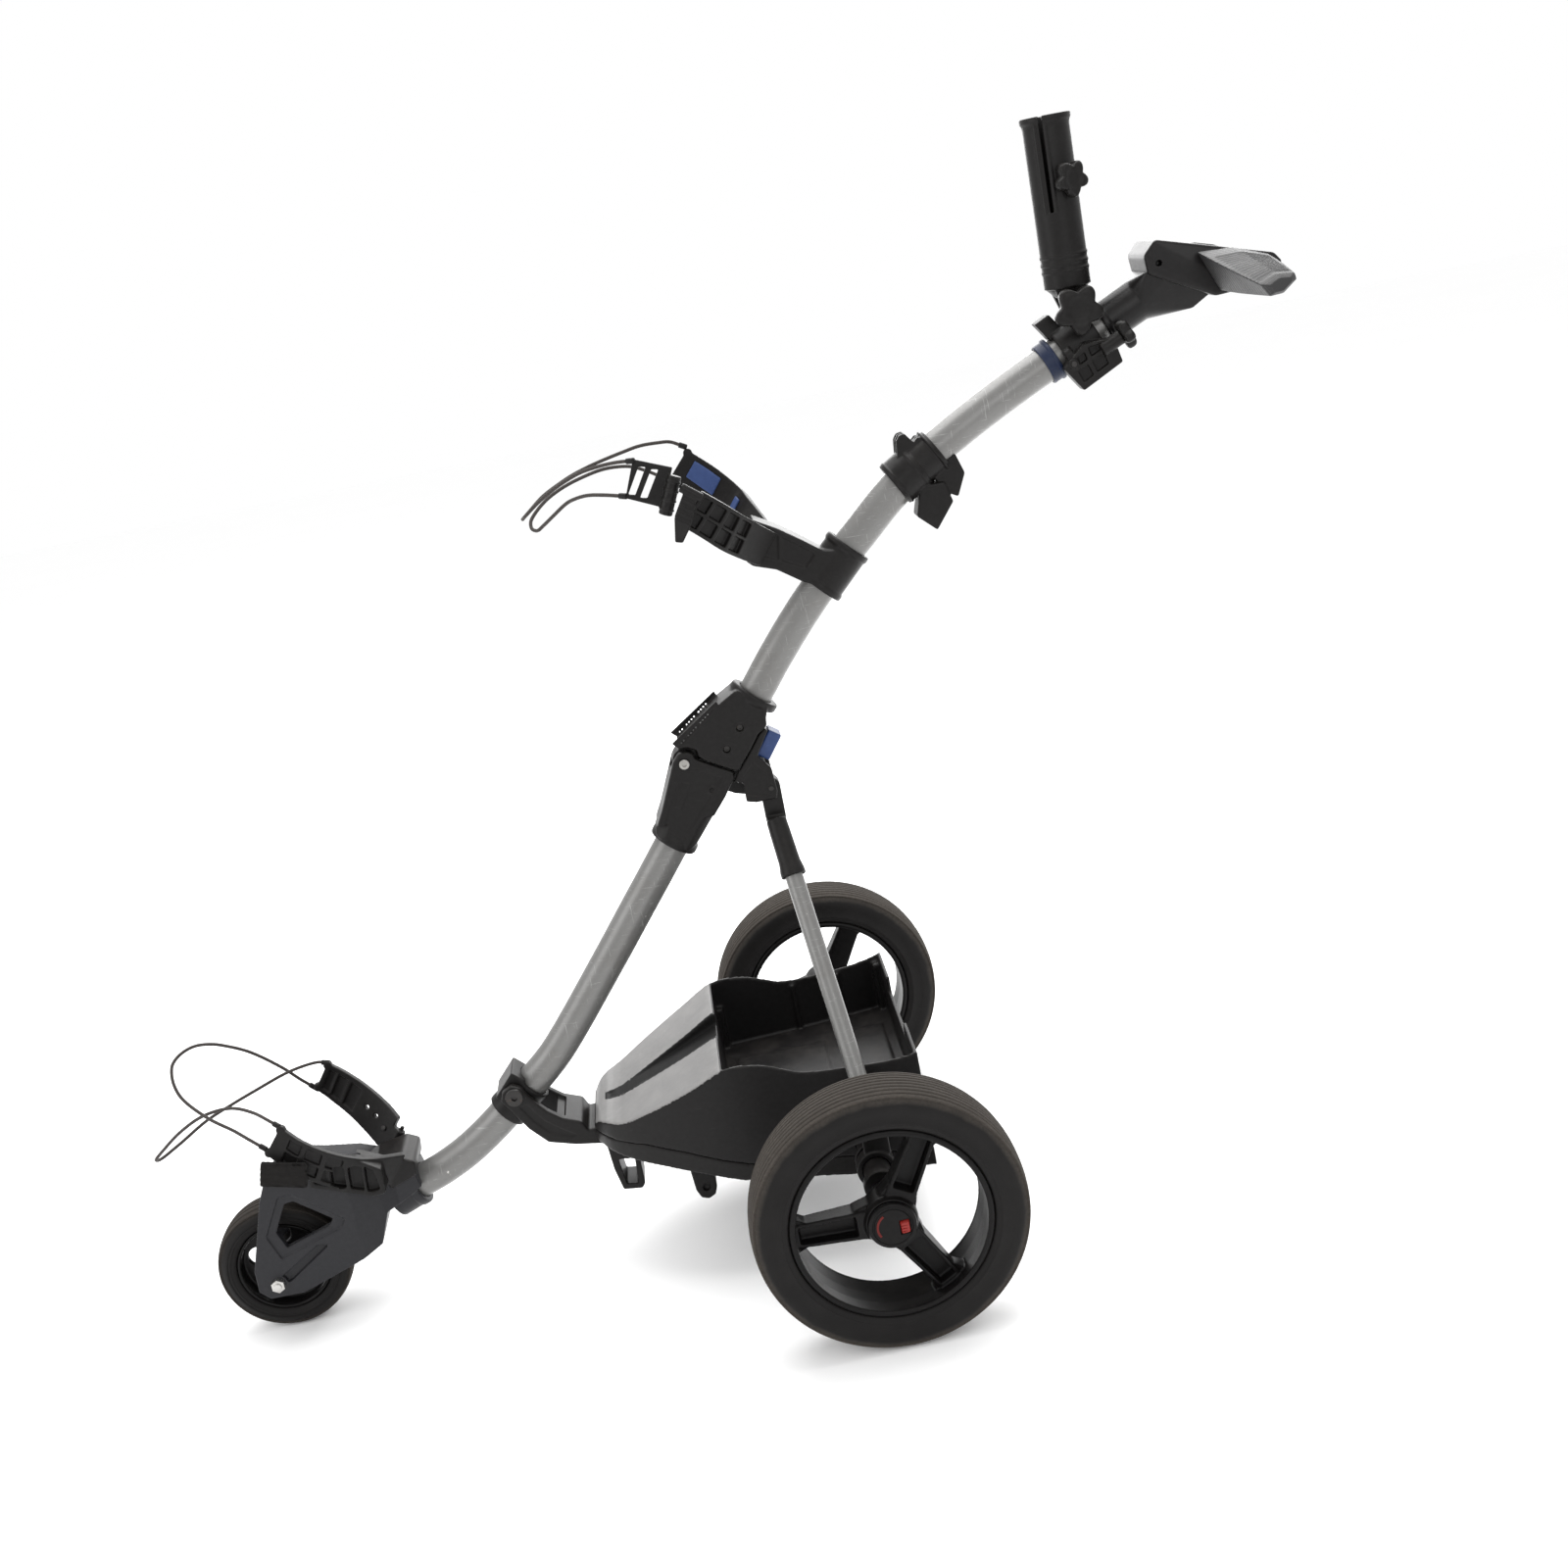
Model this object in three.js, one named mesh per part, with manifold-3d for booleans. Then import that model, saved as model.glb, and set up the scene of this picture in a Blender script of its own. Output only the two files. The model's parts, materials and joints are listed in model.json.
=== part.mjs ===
// Electric golf trolley, modelled in millimetres, +Z up.
// +X points rearward, toward the handle; +Y points to the trolley's right-hand side.
// Working frame: x = 0 on the rear axle, y = 0 on the mid-plane, z = 0 on the ground.
// The last lines shift everything along X so that the origin is the middle of the base.
import * as THREE from 'three';
import { mergeVertices } from 'three/addons/utils/BufferGeometryUtils.js';
import { ConvexGeometry } from 'three/addons/geometries/ConvexGeometry.js';
import Module from 'manifold-3d';

const wasm = await Module();
wasm.setup();

// ---------------------------------------------------------------- driving dimensions
const ORIGIN_SHIFT_X = 79.6;      // puts x = 0 in the middle of the length
const WHEEL_R = 132.5;            // rear tyre radius
const WHEEL_Y = 272;              // rear tyre centre plane
const TYRE_HALF = 30;             // rear tyre half width
const WHEEL_Z = WHEEL_R;
const FRONT_X = -634.7, FRONT_R = 71.5, FRONT_HALF = 22;
const TUBE_R = 17.8, TUBE_BORE = 15.6;
const STRUT_R = 9.3;
const GAP = 0.3;                  // running gap between neighbouring pieces
const PIVOT = [-106, 530];        // main folding hinge (x, z)
const CHASSIS_PIVOT = [-351, 216];
const BAG_UP = [0.63, 0, 0.777];  // along the bag
const BAG_OUT = [-0.777, 0, 0.63];

// ---------------------------------------------------------------- helpers
const materials = {};
function mat(name, color, roughness, metalness) {
  materials[name] = new THREE.MeshStandardMaterial({ color, roughness, metalness });
  materials[name].name = name;
}
mat('tube_paint', 0x85847f, 0.42, 0.55);
mat('black_plastic', 0x26262a, 0.55, 0.0);
mat('tray_plastic', 0x323236, 0.6, 0.0);
mat('tyre', 0x3a3633, 0.85, 0.0);
mat('rim_plastic', 0x1c1c1e, 0.5, 0.0);
mat('steel', 0xa9a9a6, 0.35, 1.0);
mat('blue_plastic', 0x3b4f86, 0.5, 0.0);
mat('red_plastic', 0xb92218, 0.45, 0.0);
mat('cord', 0x2a2422, 0.8, 0.0);
mat('grip_rubber', 0x2c2c2e, 0.8, 0.0);

function solid(g) {
  let p = new THREE.BufferGeometry();
  const src = g.index ? g.toNonIndexed() : g;
  p.setAttribute('position', src.getAttribute('position').clone());
  p = mergeVertices(p, 1e-4);
  const idx = Array.from(p.index.array), keep = [];
  for (let i = 0; i < idx.length; i += 3) {
    const [a, b, c] = [idx[i], idx[i + 1], idx[i + 2]];
    if (a !== b && b !== c && a !== c) keep.push(a, b, c);
  }
  // a profile drawn the other way round gives faces that point inwards: turn them
  const q = p.getAttribute('position').array;
  let vol = 0;
  for (let i = 0; i < keep.length; i += 3) {
    const a = keep[i] * 3, b = keep[i + 1] * 3, c = keep[i + 2] * 3;
    vol += q[a] * (q[b+1] * q[c+2] - q[b+2] * q[c+1]) - q[a+1] * (q[b] * q[c+2] - q[b+2] * q[c]) + q[a+2] * (q[b] * q[c+1] - q[b+1] * q[c]);
  }
  if (vol < 0) for (let i = 0; i < keep.length; i += 3) [keep[i + 1], keep[i + 2]] = [keep[i + 2], keep[i + 1]];
  return new wasm.Manifold(new wasm.Mesh({
    numProp: 3, vertProperties: new Float32Array(p.getAttribute('position').array),
    triVerts: new Uint32Array(keep) }));
}
const V = (a) => new THREE.Vector3(a[0], a[1], a[2]);
function unit(a) { const n = Math.hypot(...a); return a.map((v) => v / n); }
function cross(a, b) { return [a[1]*b[2]-a[2]*b[1], a[2]*b[0]-a[0]*b[2], a[0]*b[1]-a[1]*b[0]]; }
// moves a shape made in local (u, v, w) to origin o with local axes X, Y, Z
function place(geo, o, X, Y, Z) {
  const m = new THREE.Matrix4().makeBasis(V(X), V(Y), V(Z));
  m.setPosition(V(o));
  geo.applyMatrix4(m);
  return geo;
}
function frameFor(dir) {
  const Z = unit(dir);
  const ref = Math.abs(Z[1]) > 0.9 ? [1, 0, 0] : [0, 1, 0];
  const X = unit(cross(ref, Z));
  return [X, cross(Z, X), Z];
}
// closed lathe, profile of [r, h] from axis to axis (or closed ring), axis along dir from o
function lathe(profile, seg, o, dir) {
  const pts = profile.map((q) => new THREE.Vector2(q[0], q[1]));
  const g = new THREE.LatheGeometry(pts, seg);
  // local Y is the axis
  const [X, Y, Z] = frameFor(dir);
  return place(g, o, X, Z, [-Y[0], -Y[1], -Y[2]]);
}
function cyl(a, b, r, seg = 24, r2 = r) {
  const d = [b[0]-a[0], b[1]-a[1], b[2]-a[2]], h = Math.hypot(...d);
  return solid(lathe([[0, 0], [r, 0], [r2, h], [0, h]], seg, a, d));
}
function ringLathe(profile, seg, o, dir) { return solid(lathe([...profile, profile[0]], seg, o, dir)); }
function poly2(pts) { const s = new THREE.Shape(); s.setFromPoints(pts.map((q) => new THREE.Vector2(q[0], q[1]))); return s; }
// outline in (x, z), from y0 to y1
function extY(pts, y0, y1) {
  const g = new THREE.ExtrudeGeometry(poly2(pts), { depth: y1 - y0, bevelEnabled: false });
  return solid(place(g, [0, y1, 0], [1, 0, 0], [0, 0, 1], [0, -1, 0]));
}
// outline in (x, y), from z0 to z1
function extZ(pts, z0, z1) {
  const g = new THREE.ExtrudeGeometry(poly2(pts), { depth: z1 - z0, bevelEnabled: false });
  return solid(place(g, [0, 0, z0], [1, 0, 0], [0, 1, 0], [0, 0, 1]));
}
// outline in local (p, q), from w0 to w1 along W
function extL(pts, o, P, Q, w0, w1) {
  const W = cross(P, Q);
  const g = new THREE.ExtrudeGeometry(poly2(pts), { depth: w1 - w0, bevelEnabled: false });
  return solid(place(g, [o[0]+W[0]*w0, o[1]+W[1]*w0, o[2]+W[2]*w0], P, Q, W));
}
function box(x0, y0, z0, x1, y1, z1) {
  const g = new THREE.BoxGeometry(x1 - x0, y1 - y0, z1 - z0);
  g.translate((x0 + x1) / 2, (y0 + y1) / 2, (z0 + z1) / 2);
  return solid(g);
}
function hull(pts) { return solid(new ConvexGeometry(pts.map(V))); }
function tube(pts, r, sides, steps, rin = 0) {
  const curve = new THREE.CatmullRomCurve3(pts.map(V), false, 'centripetal');
  const s = new THREE.Shape();
  const ring = (R) => Array.from({ length: sides }, (_, i) => {
    const a = (i + 0.5) / sides * 2 * Math.PI; return new THREE.Vector2(R * Math.cos(a), R * Math.sin(a)); });
  s.setFromPoints(ring(r));
  if (rin) s.holes.push(new THREE.Path(ring(rin).reverse()));
  return solid(new THREE.ExtrudeGeometry(s, { steps, extrudePath: curve, bevelEnabled: false }));
}
const union = (...a) => a.reduce((x, y) => x.add(y));
const cut = (a, ...b) => b.reduce((x, y) => x.subtract(y), a);

const group = new THREE.Group();
group.name = 'electric_golf_trolley';
const inner = new THREE.Group();
inner.position.set(ORIGIN_SHIFT_X, 0, 0);
group.add(inner);
function node(name, m, material) {
  // merges the slivers that booleans leave
  const q = m.asOriginal().simplify(0.03).getMesh();
  const g = new THREE.BufferGeometry();
  const vp = q.vertProperties, np = q.numProp, pos = new Float32Array(vp.length / np * 3);
  for (let i = 0; i < vp.length / np; i++) { pos[i*3] = vp[i*np]; pos[i*3+1] = vp[i*np+1]; pos[i*3+2] = vp[i*np+2]; }
  g.setAttribute('position', new THREE.BufferAttribute(pos, 3));
  g.setIndex(new THREE.BufferAttribute(new Uint32Array(q.triVerts), 1));
  g.computeVertexNormals();
  const mesh = new THREE.Mesh(g, materials[material]);
  mesh.name = name;
  inner.add(mesh);
}
const along = (p, d, s) => [p[0]+d[0]*s, p[1]+d[1]*s, p[2]+d[2]*s];

// ---------------------------------------------------------------- lower tube and hinge
const lowerLine = [[-500,0,119],[-472,0,128.5],[-445,0,138.5],[-415,0,153.5],[-383,0,175],[-350,0,201.5],[-313,0,231.5],[-298,0,246],[-273,0,274.5],[-242,0,312],[-210.5,0,350.5],[-188,0,378.5],[-165,0,406.8],[-131.5,0,448.5],[-104.5,0,482.2]];
const pivotY = (r, h = 40) => cyl([PIVOT[0], -h, PIVOT[1]], [PIVOT[0], h, PIVOT[1]], r, 24);
const boltY = cyl([CHASSIS_PIVOT[0], -60, CHASSIS_PIVOT[1]], [CHASSIS_PIVOT[0], 60, CHASSIS_PIVOT[1]], 4.4, 16);
const lowerTube = tube(lowerLine, TUBE_R, 14, 14, TUBE_BORE).subtract(boltY);
node('lower_tube', lowerTube, 'tube_paint');

const lowDir = unit([27, 0, 33.7]);
const lowerOuter = [[-117,533],[-138,486],[-148,467],[-149,460],[-121,438],[-110,443],[-72,487],[-56,509.5],[-70,517.5],[-89,529],[-95,533],[-95,538],[-101,542],[-110,541]];
const tubeSteps = 14, tubeSides = 14;
const lowerBoreT = union(tube(lowerLine, TUBE_R + 0.5, tubeSides, tubeSteps), cyl([-106.2,0,480.1], [-102.5,0,484.7], TUBE_R + 0.4, 18));
let lowerHousing = extY(lowerOuter, -23.5, 23.5);
lowerHousing = lowerHousing.intersect(union(
  cyl(along([-131.5,0,448.5], lowDir, -60), along([-131.5,0,448.5], lowDir, 150), 26.5, 28),
  extY([[-170,470],[-60,470],[-60,560],[-170,560]], -23.5, 23.5)));
const knuckleSlot = union(
  extY([[-130,522],[-80,522],[-80,560],[-130,560]], -12.7, 12.7), cyl([PIVOT[0],-12.7,PIVOT[1]],[PIVOT[0],12.7,PIVOT[1]], 13.2, 28));
lowerHousing = cut(lowerHousing, lowerBoreT, knuckleSlot, pivotY(3.4, 50));
node('hinge_lower_housing', lowerHousing, 'black_plastic');

const pin = union(pivotY(3.1, 25.5), cyl([PIVOT[0],-26.5,PIVOT[1]],[PIVOT[0],-23.9,PIVOT[1]], 5.2, 20), cyl([PIVOT[0],23.9,PIVOT[1]],[PIVOT[0],26.5,PIVOT[1]], 5.2, 20))
  .subtract(cyl([PIVOT[0],-30,PIVOT[1]],[PIVOT[0],-24.6,PIVOT[1]], 2.2, 6));
node('hinge_pin', pin, 'steel');

// ---------------------------------------------------------------- upper tube and hinge
const upperLine = [[-74,0,528],[-60,0,542],[-25,0,577.5],[4,0,613],[42,0,656],[79,0,692.5],[114,0,723],[143,0,748.5],[182,0,777],[221,0,799.5],[258,0,818.5],[295,0,836],[326,0,850],[363,0,866],[400,0,883]];
node('upper_tube', tube(upperLine, TUBE_R, 14, 14, TUBE_BORE), 'tube_paint');
const upperBoreT = union(tube(upperLine, TUBE_R + 0.5, 14, 14), cyl([-76.4,0,525.6], [-73,0,529], TUBE_R + 0.4, 18), cyl([399,0,882.5], [402.8,0,884.3], TUBE_R + 0.4, 18));
const upDir = unit([34, 0, 36]);
const upperOuter = [[-40,594],[-12,571],[-16,560],[-17,551],[-27,545],[-37.6,530.6],[-54.8,510.6],[-69.6,519.3],[-86,529.5],[-91,535],[-91,541],[-100,546],[-111,545],[-109,549],[-60,583]];
let upperHousing = extY(upperOuter, -23.5, 23.5);
upperHousing = union(upperHousing, extY([[-118,531],[-106,517],[-90,520],[-80,535],[-95,552],[-111,548]], -12.4, 12.4)
  .intersect(union(cyl([PIVOT[0],-12.4,PIVOT[1]],[PIVOT[0],12.4,PIVOT[1]], 12.6, 28), extY([[-106,530],[-80,530],[-80,552],[-110,548]], -12.4, 12.4))));
upperHousing = union(upperHousing,
  extY([[-114,553],[-108,546],[-60,580.5],[-62,587]], -23.5, -21), extY([[-114,553],[-108,546],[-60,580.5],[-62,587]], 21, 23.5));
upperHousing = cut(upperHousing, upperBoreT, pivotY(3.4, 50));
upperHousing = cut(upperHousing, cyl([PIVOT[0],12.9,PIVOT[1]],[PIVOT[0],30,PIVOT[1]], 13.3, 28), cyl([PIVOT[0],-30,PIVOT[1]],[PIVOT[0],-12.9,PIVOT[1]], 13.3, 28));
// relief where the two housings come together at the end of the fold
const lowGrown = union(...[[0.4,0],[-0.4,0],[0,0.4],[0,-0.4]].map(([a, b]) => lowerHousing.translate([a, 0, b])));
for (const deg of [94, 97, 100, 103, 105.5])
  upperHousing = upperHousing.subtract(lowGrown.translate([-PIVOT[0], 0, -PIVOT[1]]).rotate([0, deg, 0]).translate([PIVOT[0], 0, PIVOT[1]]));
upperHousing = upperHousing.decompose().sort((p, q) => q.volume() - p.volume())[0];
node('hinge_upper_housing', upperHousing, 'black_plastic');

// latch block: two cheeks joined across the top, behind the hinge
const blockOuter = [[-71.6,485.6],[-61,479.5],[-42,474],[-21,474],[-19,482],[-20.5,507],[-32,522],[-17,546],[-19.5,549],[-26.4,543.8],[-37.2,529.8],[-54.2,509.4]];
let latchBlock = extY(blockOuter, -21, 21);
latchBlock = cut(latchBlock,
  extY([[-90,440],[-90,505],[-60,513],[-20,513],[0,508],[0,440]], -15.5, 7.5));
const btnAxis = unit([-0.80, 0, 0.60]);
const btnAlong = unit([0.60, 0, 0.80]);
const btnCentre = [-19.3, 0, 529.1];
function btnBox(w, l, d0, d1) {
  return extL([[-l/2, -w/2], [l/2, -w/2], [l/2, w/2], [-l/2, w/2]], btnCentre, btnAlong, [0, 1, 0], d0, d1);
}
// W = along x Y ; outward is the opposite of btnAxis
const btnOuter = btnBox(24, 29, -8.5, 6);
latchBlock = latchBlock.subtract(btnBox(24.8, 30, -16, 12));
upperHousing = null;
node('latch_button', btnOuter, 'blue_plastic');

// ---------------------------------------------------------------- strut between hinge and axle
const sT = [-26, -20, 450], sB = [8, -185, 150];
const sDir = unit([sB[0]-sT[0], sB[1]-sT[1], sB[2]-sT[2]]);
const sp = (z) => along(sT, sDir, (z - sT[2]) / sDir[2]);
let strutTube = cyl(sp(414), sp(168), STRUT_R, 20).subtract(cyl(sp(440), sp(120), 7.6, 20));
node('strut_tube', strutTube, 'tube_paint');
const sleeveBody = (e) => union(
  solid(lathe([[0,-e],[10.4+e,-e],[10.8+e,14],[11.2+e,49],[12.4+e,55],[12.4+e,61],[0,61]], 20, sp(452), sDir)),
  box(-36-e, -14-e, 447, -15+e, 4+e, 485), cyl([-25.5,-14-e,485],[-25.5,4+e,485], 10.5+e, 20));
let sleeve = sleeveBody(0);
sleeve = sleeve.subtract(cyl(sp(424), sp(380), STRUT_R + GAP, 24));
node('strut_sleeve', sleeve, 'black_plastic');
// the slot in the latch block is relieved along the path of the strut's head as the shaft folds
const turned = (m, c, deg) => m.translate([-c[0], 0, -c[1]]).rotate([0, -deg, 0]).translate([c[0], 0, c[1]]);
const head0 = sleeveBody(0.8);
for (let deg = 60; deg <= 105; deg += 3) {
  const h = turned(turned(turned(head0, [0, WHEEL_Z], -0.131683 * deg), CHASSIS_PIVOT, 0.225716 * deg), PIVOT, -deg);
  latchBlock = latchBlock.subtract(h);
}
// and trimmed where it passes the lower housing as the hinge begins to open
for (const deg of [5, 10, 15, 20, 25])
  for (const [a, b] of [[0.4, 0], [0, -0.4], [0.3, -0.3]]) latchBlock = latchBlock.subtract(turned(lowerHousing.translate([-a, 0, -b]), PIVOT, -deg));
latchBlock = latchBlock.decompose().sort((p, q) => q.volume() - p.volume())[0];
node('latch_block', latchBlock, 'black_plastic');
// ring on the axle tube that the strut's lower end swings on
const footRing = ringLathe([[13.8,0],[19.5,0],[19.5,15],[13.8,15]], 20, [0,-177,WHEEL_Z], [0,-1,0]);
let foot = union(footRing, box(-9, -190, 146, 17, -178, 168),
  solid(lathe([[0,0],[11.8,0],[12.2,8],[12.2,46],[0,46]], 24, sp(200), sDir)));
foot = cut(foot, cyl(sp(206), sp(165), STRUT_R + GAP, 24),
  cyl([0,-230,WHEEL_Z], [0,-120,WHEEL_Z], 13.8, 28),
  box(-60, -176.9, 60, 60, -150, 153));
node('strut_foot', foot, 'black_plastic');

// ---------------------------------------------------------------- front fork and wheel
const forkSide = [[-612,206],[-630,168],[-656,90],[-657,66],[-647,56],[-612,55],[-553,75],[-521,87],[-509,118],[-496,120],[-470,134],[-478,170],[-520,196]];
let fork = extY(forkSide, -54, 54);
const forkPlan = [[-665,-54],[-540,-54],[-512,-40],[-496,-27],[-465,-27],[-465,27],[-496,27],[-512,40],[-540,54],[-665,54]];
fork = fork.intersect(extZ(forkPlan, 40, 230));
fork = cut(fork,
  extY([[-700,40],[-553,40],[-545,80],[-545,130],[-575,158],[-610,170],[-700,175]], -43, 43),
  extY([[-606,158],[-598,160],[-563,132],[-567,124],[-614,110],[-621,114],[-622,128]], -60, 60));
fork = cut(fork, extY([[-700,176],[-612,176],[-575,167],[-533,169],[-533,240],[-700,240]], -43, 60));
const frontDir = unit([28, 0, 10.8]);
const socketBase = [-500, 0, 119];
fork = union(fork, cyl(along(socketBase, frontDir, -6), along(socketBase, frontDir, 26), 24, 28));
fork = cut(fork, cyl([FRONT_X,-60,FRONT_R],[FRONT_X,60,FRONT_R], 4.4, 16));
fork = fork.subtract(union(lowerBoreT, cyl([-502.3,0,118.1], [-499,0,119.4], TUBE_R + 0.4, 18)));
node('front_fork', fork, 'black_plastic');
node('front_axle_bolt', union(cyl([FRONT_X,-56,FRONT_R],[FRONT_X,56,FRONT_R], 4.0, 16),
  cyl([FRONT_X,-60,FRONT_R],[FRONT_X,-54.3,FRONT_R], 7.5, 6), cyl([FRONT_X,54.3,FRONT_R],[FRONT_X,60,FRONT_R], 7.5, 6)), 'steel');
function tyreRing(c, R, half, rIn, side, seg) {
  return ringLathe([[rIn,-half+4],[rIn,half-4],[rIn+6,half-1],[R-12,half],[R-4,half-4],[R,half*0.45],[R,-half*0.45],[R-4,-half+4],[R-12,-half],[rIn+6,-half+1]], seg, c, [0,1,0]);
}
node('front_tyre', tyreRing([FRONT_X,0,FRONT_R], FRONT_R, FRONT_HALF, 50, 0, 24), 'tyre');
let frontRim = union(
  ringLathe([[46,-18],[49.2,-18],[49.2,18],[46,18]], 24, [FRONT_X,0,FRONT_R], [0,1,0]),
  ringLathe([[5,-3],[47.5,-3],[47.5,3],[5,3]], 24, [FRONT_X,0,FRONT_R], [0,1,0]),
  ringLathe([[4.4,-42],[11,-42],[13,-10],[13,10],[11,42],[4.4,42]], 16, [FRONT_X,0,FRONT_R], [0,1,0]));
for (let i = 0; i < 5; i++) {
  const a = i * 2 * Math.PI / 5 + 0.3;
  frontRim = frontRim.subtract(cyl([FRONT_X+30*Math.cos(a),-10,FRONT_R+30*Math.sin(a)],[FRONT_X+30*Math.cos(a),10,FRONT_R+30*Math.sin(a)], 11, 8));
}
node('front_rim', frontRim, 'rim_plastic');

// ---------------------------------------------------------------- front collar, pivot bolt and yoke
const colDir = unit([37, 0, 30]);
let collar = cyl(along([-351,0,200.7], colDir, -20), along([-351,0,200.7], colDir, 22), 21.8, 28);
collar = union(collar, extY([[-372,214],[-350,238],[-338,226],[-342,205],[-360,200]], -21.8, 21.8));
collar = cut(collar, lowerBoreT, boltY);
node('front_collar', collar, 'black_plastic');
node('pivot_bolt', union(cyl([CHASSIS_PIVOT[0],-34,CHASSIS_PIVOT[1]],[CHASSIS_PIVOT[0],34,CHASSIS_PIVOT[1]], 4.0, 16),
  cyl([CHASSIS_PIVOT[0],-37,CHASSIS_PIVOT[1]],[CHASSIS_PIVOT[0],-32.4,CHASSIS_PIVOT[1]], 9.5, 24),
  cyl([CHASSIS_PIVOT[0],32.4,CHASSIS_PIVOT[1]],[CHASSIS_PIVOT[0],37,CHASSIS_PIVOT[1]], 9.5, 24)), 'steel');
const yokeSide = [[-363,222],[-366,212],[-360,203],[-345,176],[-328,156],[-300,147],[-278,143],[-262,139],[-262,161],[-284,161],[-289,172],[-308,180],[-322,192],[-338,212],[-343,223],[-352,228]];
let yoke = extY(yokeSide, -32, 32);
yoke = cut(yoke, box(-400, -22.6, 100, -306, 22.6, 240));
yoke = cut(yoke, boltY);
// shallow recess between the arms on top
node('yoke', yoke, 'black_plastic');

// ---------------------------------------------------------------- battery tray and pan
const plan = [[-284,-24],[-262,-62],[-240,-82],[-200,-101],[-160,-113],[-135,-117],[-51,-122],[20,-131],[64,-138],
  [64,138],[20,131],[-51,122],[-135,117],[-160,113],[-200,101],[-240,82],[-262,62],[-284,24]];
function planIn(d) { return [[-284+d,-24],[-262,-62+d],[-240,-82+d],[-200,-101+d],[-160,-113+d],[-135,-117+d],[-51,-122+d],[20,-131+d],[64-d,-138+d],
  [64-d,138-d],[20,131-d],[-51,122-d],[-135,117-d],[-160,113-d],[-200,101-d],[-240,82-d],[-262,62-d],[-284+d,24]]; }
const traySide = [[-276,170],[-267,179],[-245,183],[-215,196],[-189,208],[-162,221],[-147,229],[-134,235],[-113,237],[-90,233],[-79,229],[-68,224],[-55,219],[-34,216.5],[-10,216],[23,216],[52,219],[64,222],[64,116],[0,116],[-108,124],[-146,136],[-184,150],[-222,160],[-250,162],[-276,164]];
let tray = extY(traySide, -140, 140).intersect(extZ(plan, 100, 260));
const trayCavity = extZ([[-131,-113.5],[-51,-118.3],[20,-127.3],[60,-134.3],[60,134.3],[20,127.3],[-51,118.3],[-131,113.5]], 158, 260);
tray = cut(tray, trayCavity);
// hollow under the floor and under the fairing, open to the pan below
const hollowSide = [[-240,150],[-215,174],[-189,190],[-162,204],[-138,214],[-138,154.5],[60,154.5],[60,90],[-108,90],[-250,120]];
tray = cut(tray, extY(hollowSide, -140, 140).intersect(extZ(planIn(4), 80, 260)));
// groove between the two fairing pads
tray = cut(tray, hull([[-131,-30,262],[-131,30,262],[-131,-26,206],[-131,26,206],[-260,-6,176],[-260,6,176],[-256,-9,200],[-256,9,200]])
  .intersect(extY([[-262,178],[-131,224],[-131,262],[-262,215]], -60, 60)));
tray = cut(tray, cyl([0,-160,WHEEL_Z],[0,160,WHEEL_Z], 14.2, 24));
// notch in the rear wall
tray = cut(tray, extY([[56,204],[70,204],[70,230],[56,230]], -62, 62));
node('battery_tray', tray, 'tray_plastic');

const panSide = [[-278,163.4],[-276,150],[-250,144],[-207,134],[-169,123],[-130,110],[-24,96],[64,95],[64,115.6],[0,115.6],[-108,123.6],[-146,135.6],[-184,149.6],[-222,159.6],[-250,161.6]];
let pan = extY(panSide, -140, 140).intersect(extZ(planIn(0.4), 80, 200));
pan = cut(pan, extY([[-238,151],[-207,140],[-169,128],[-130,114],[-24,100],[60,99],[60,130],[-108,130],[-184,156]], -140, 140).intersect(extZ(planIn(4.5), 80, 220)));
pan = cut(pan, box(-300, -33, 130, -261.6, 33, 181));
node('chassis_pan', pan, 'black_plastic');
tray = null;
let footLoop = extY([[-270,139],[-268,108],[-263,82],[-243,79],[-239,84],[-238,136],[-250,143.2]], -28, 12);
footLoop = footLoop.subtract(extY([[-261,118],[-258,88],[-246,86],[-244,116]], -40, 30));
footLoop = footLoop.subtract(box(-300, -60, 138.4, -260, 60, 200));
footLoop = footLoop.subtract(extY([[-280,144],[-250,143.6],[-207,133.7],[-207,180],[-280,180]], -60, 60));
node('foot_loop', footLoop, 'black_plastic');
let footTab = extY([[-206,106],[-190,90],[-188,62],[-184,52],[-176,49],[-168,53],[-165,62],[-164,104],[-164,130],[-206,132]], -26, 2);
footTab = footTab.subtract(extY([[-250,143.6],[-207,133.6],[-169,122.6],[-130,109.6],[-130,180],[-250,180]], -60, 60));
node('foot_tab', footTab, 'black_plastic');

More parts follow.
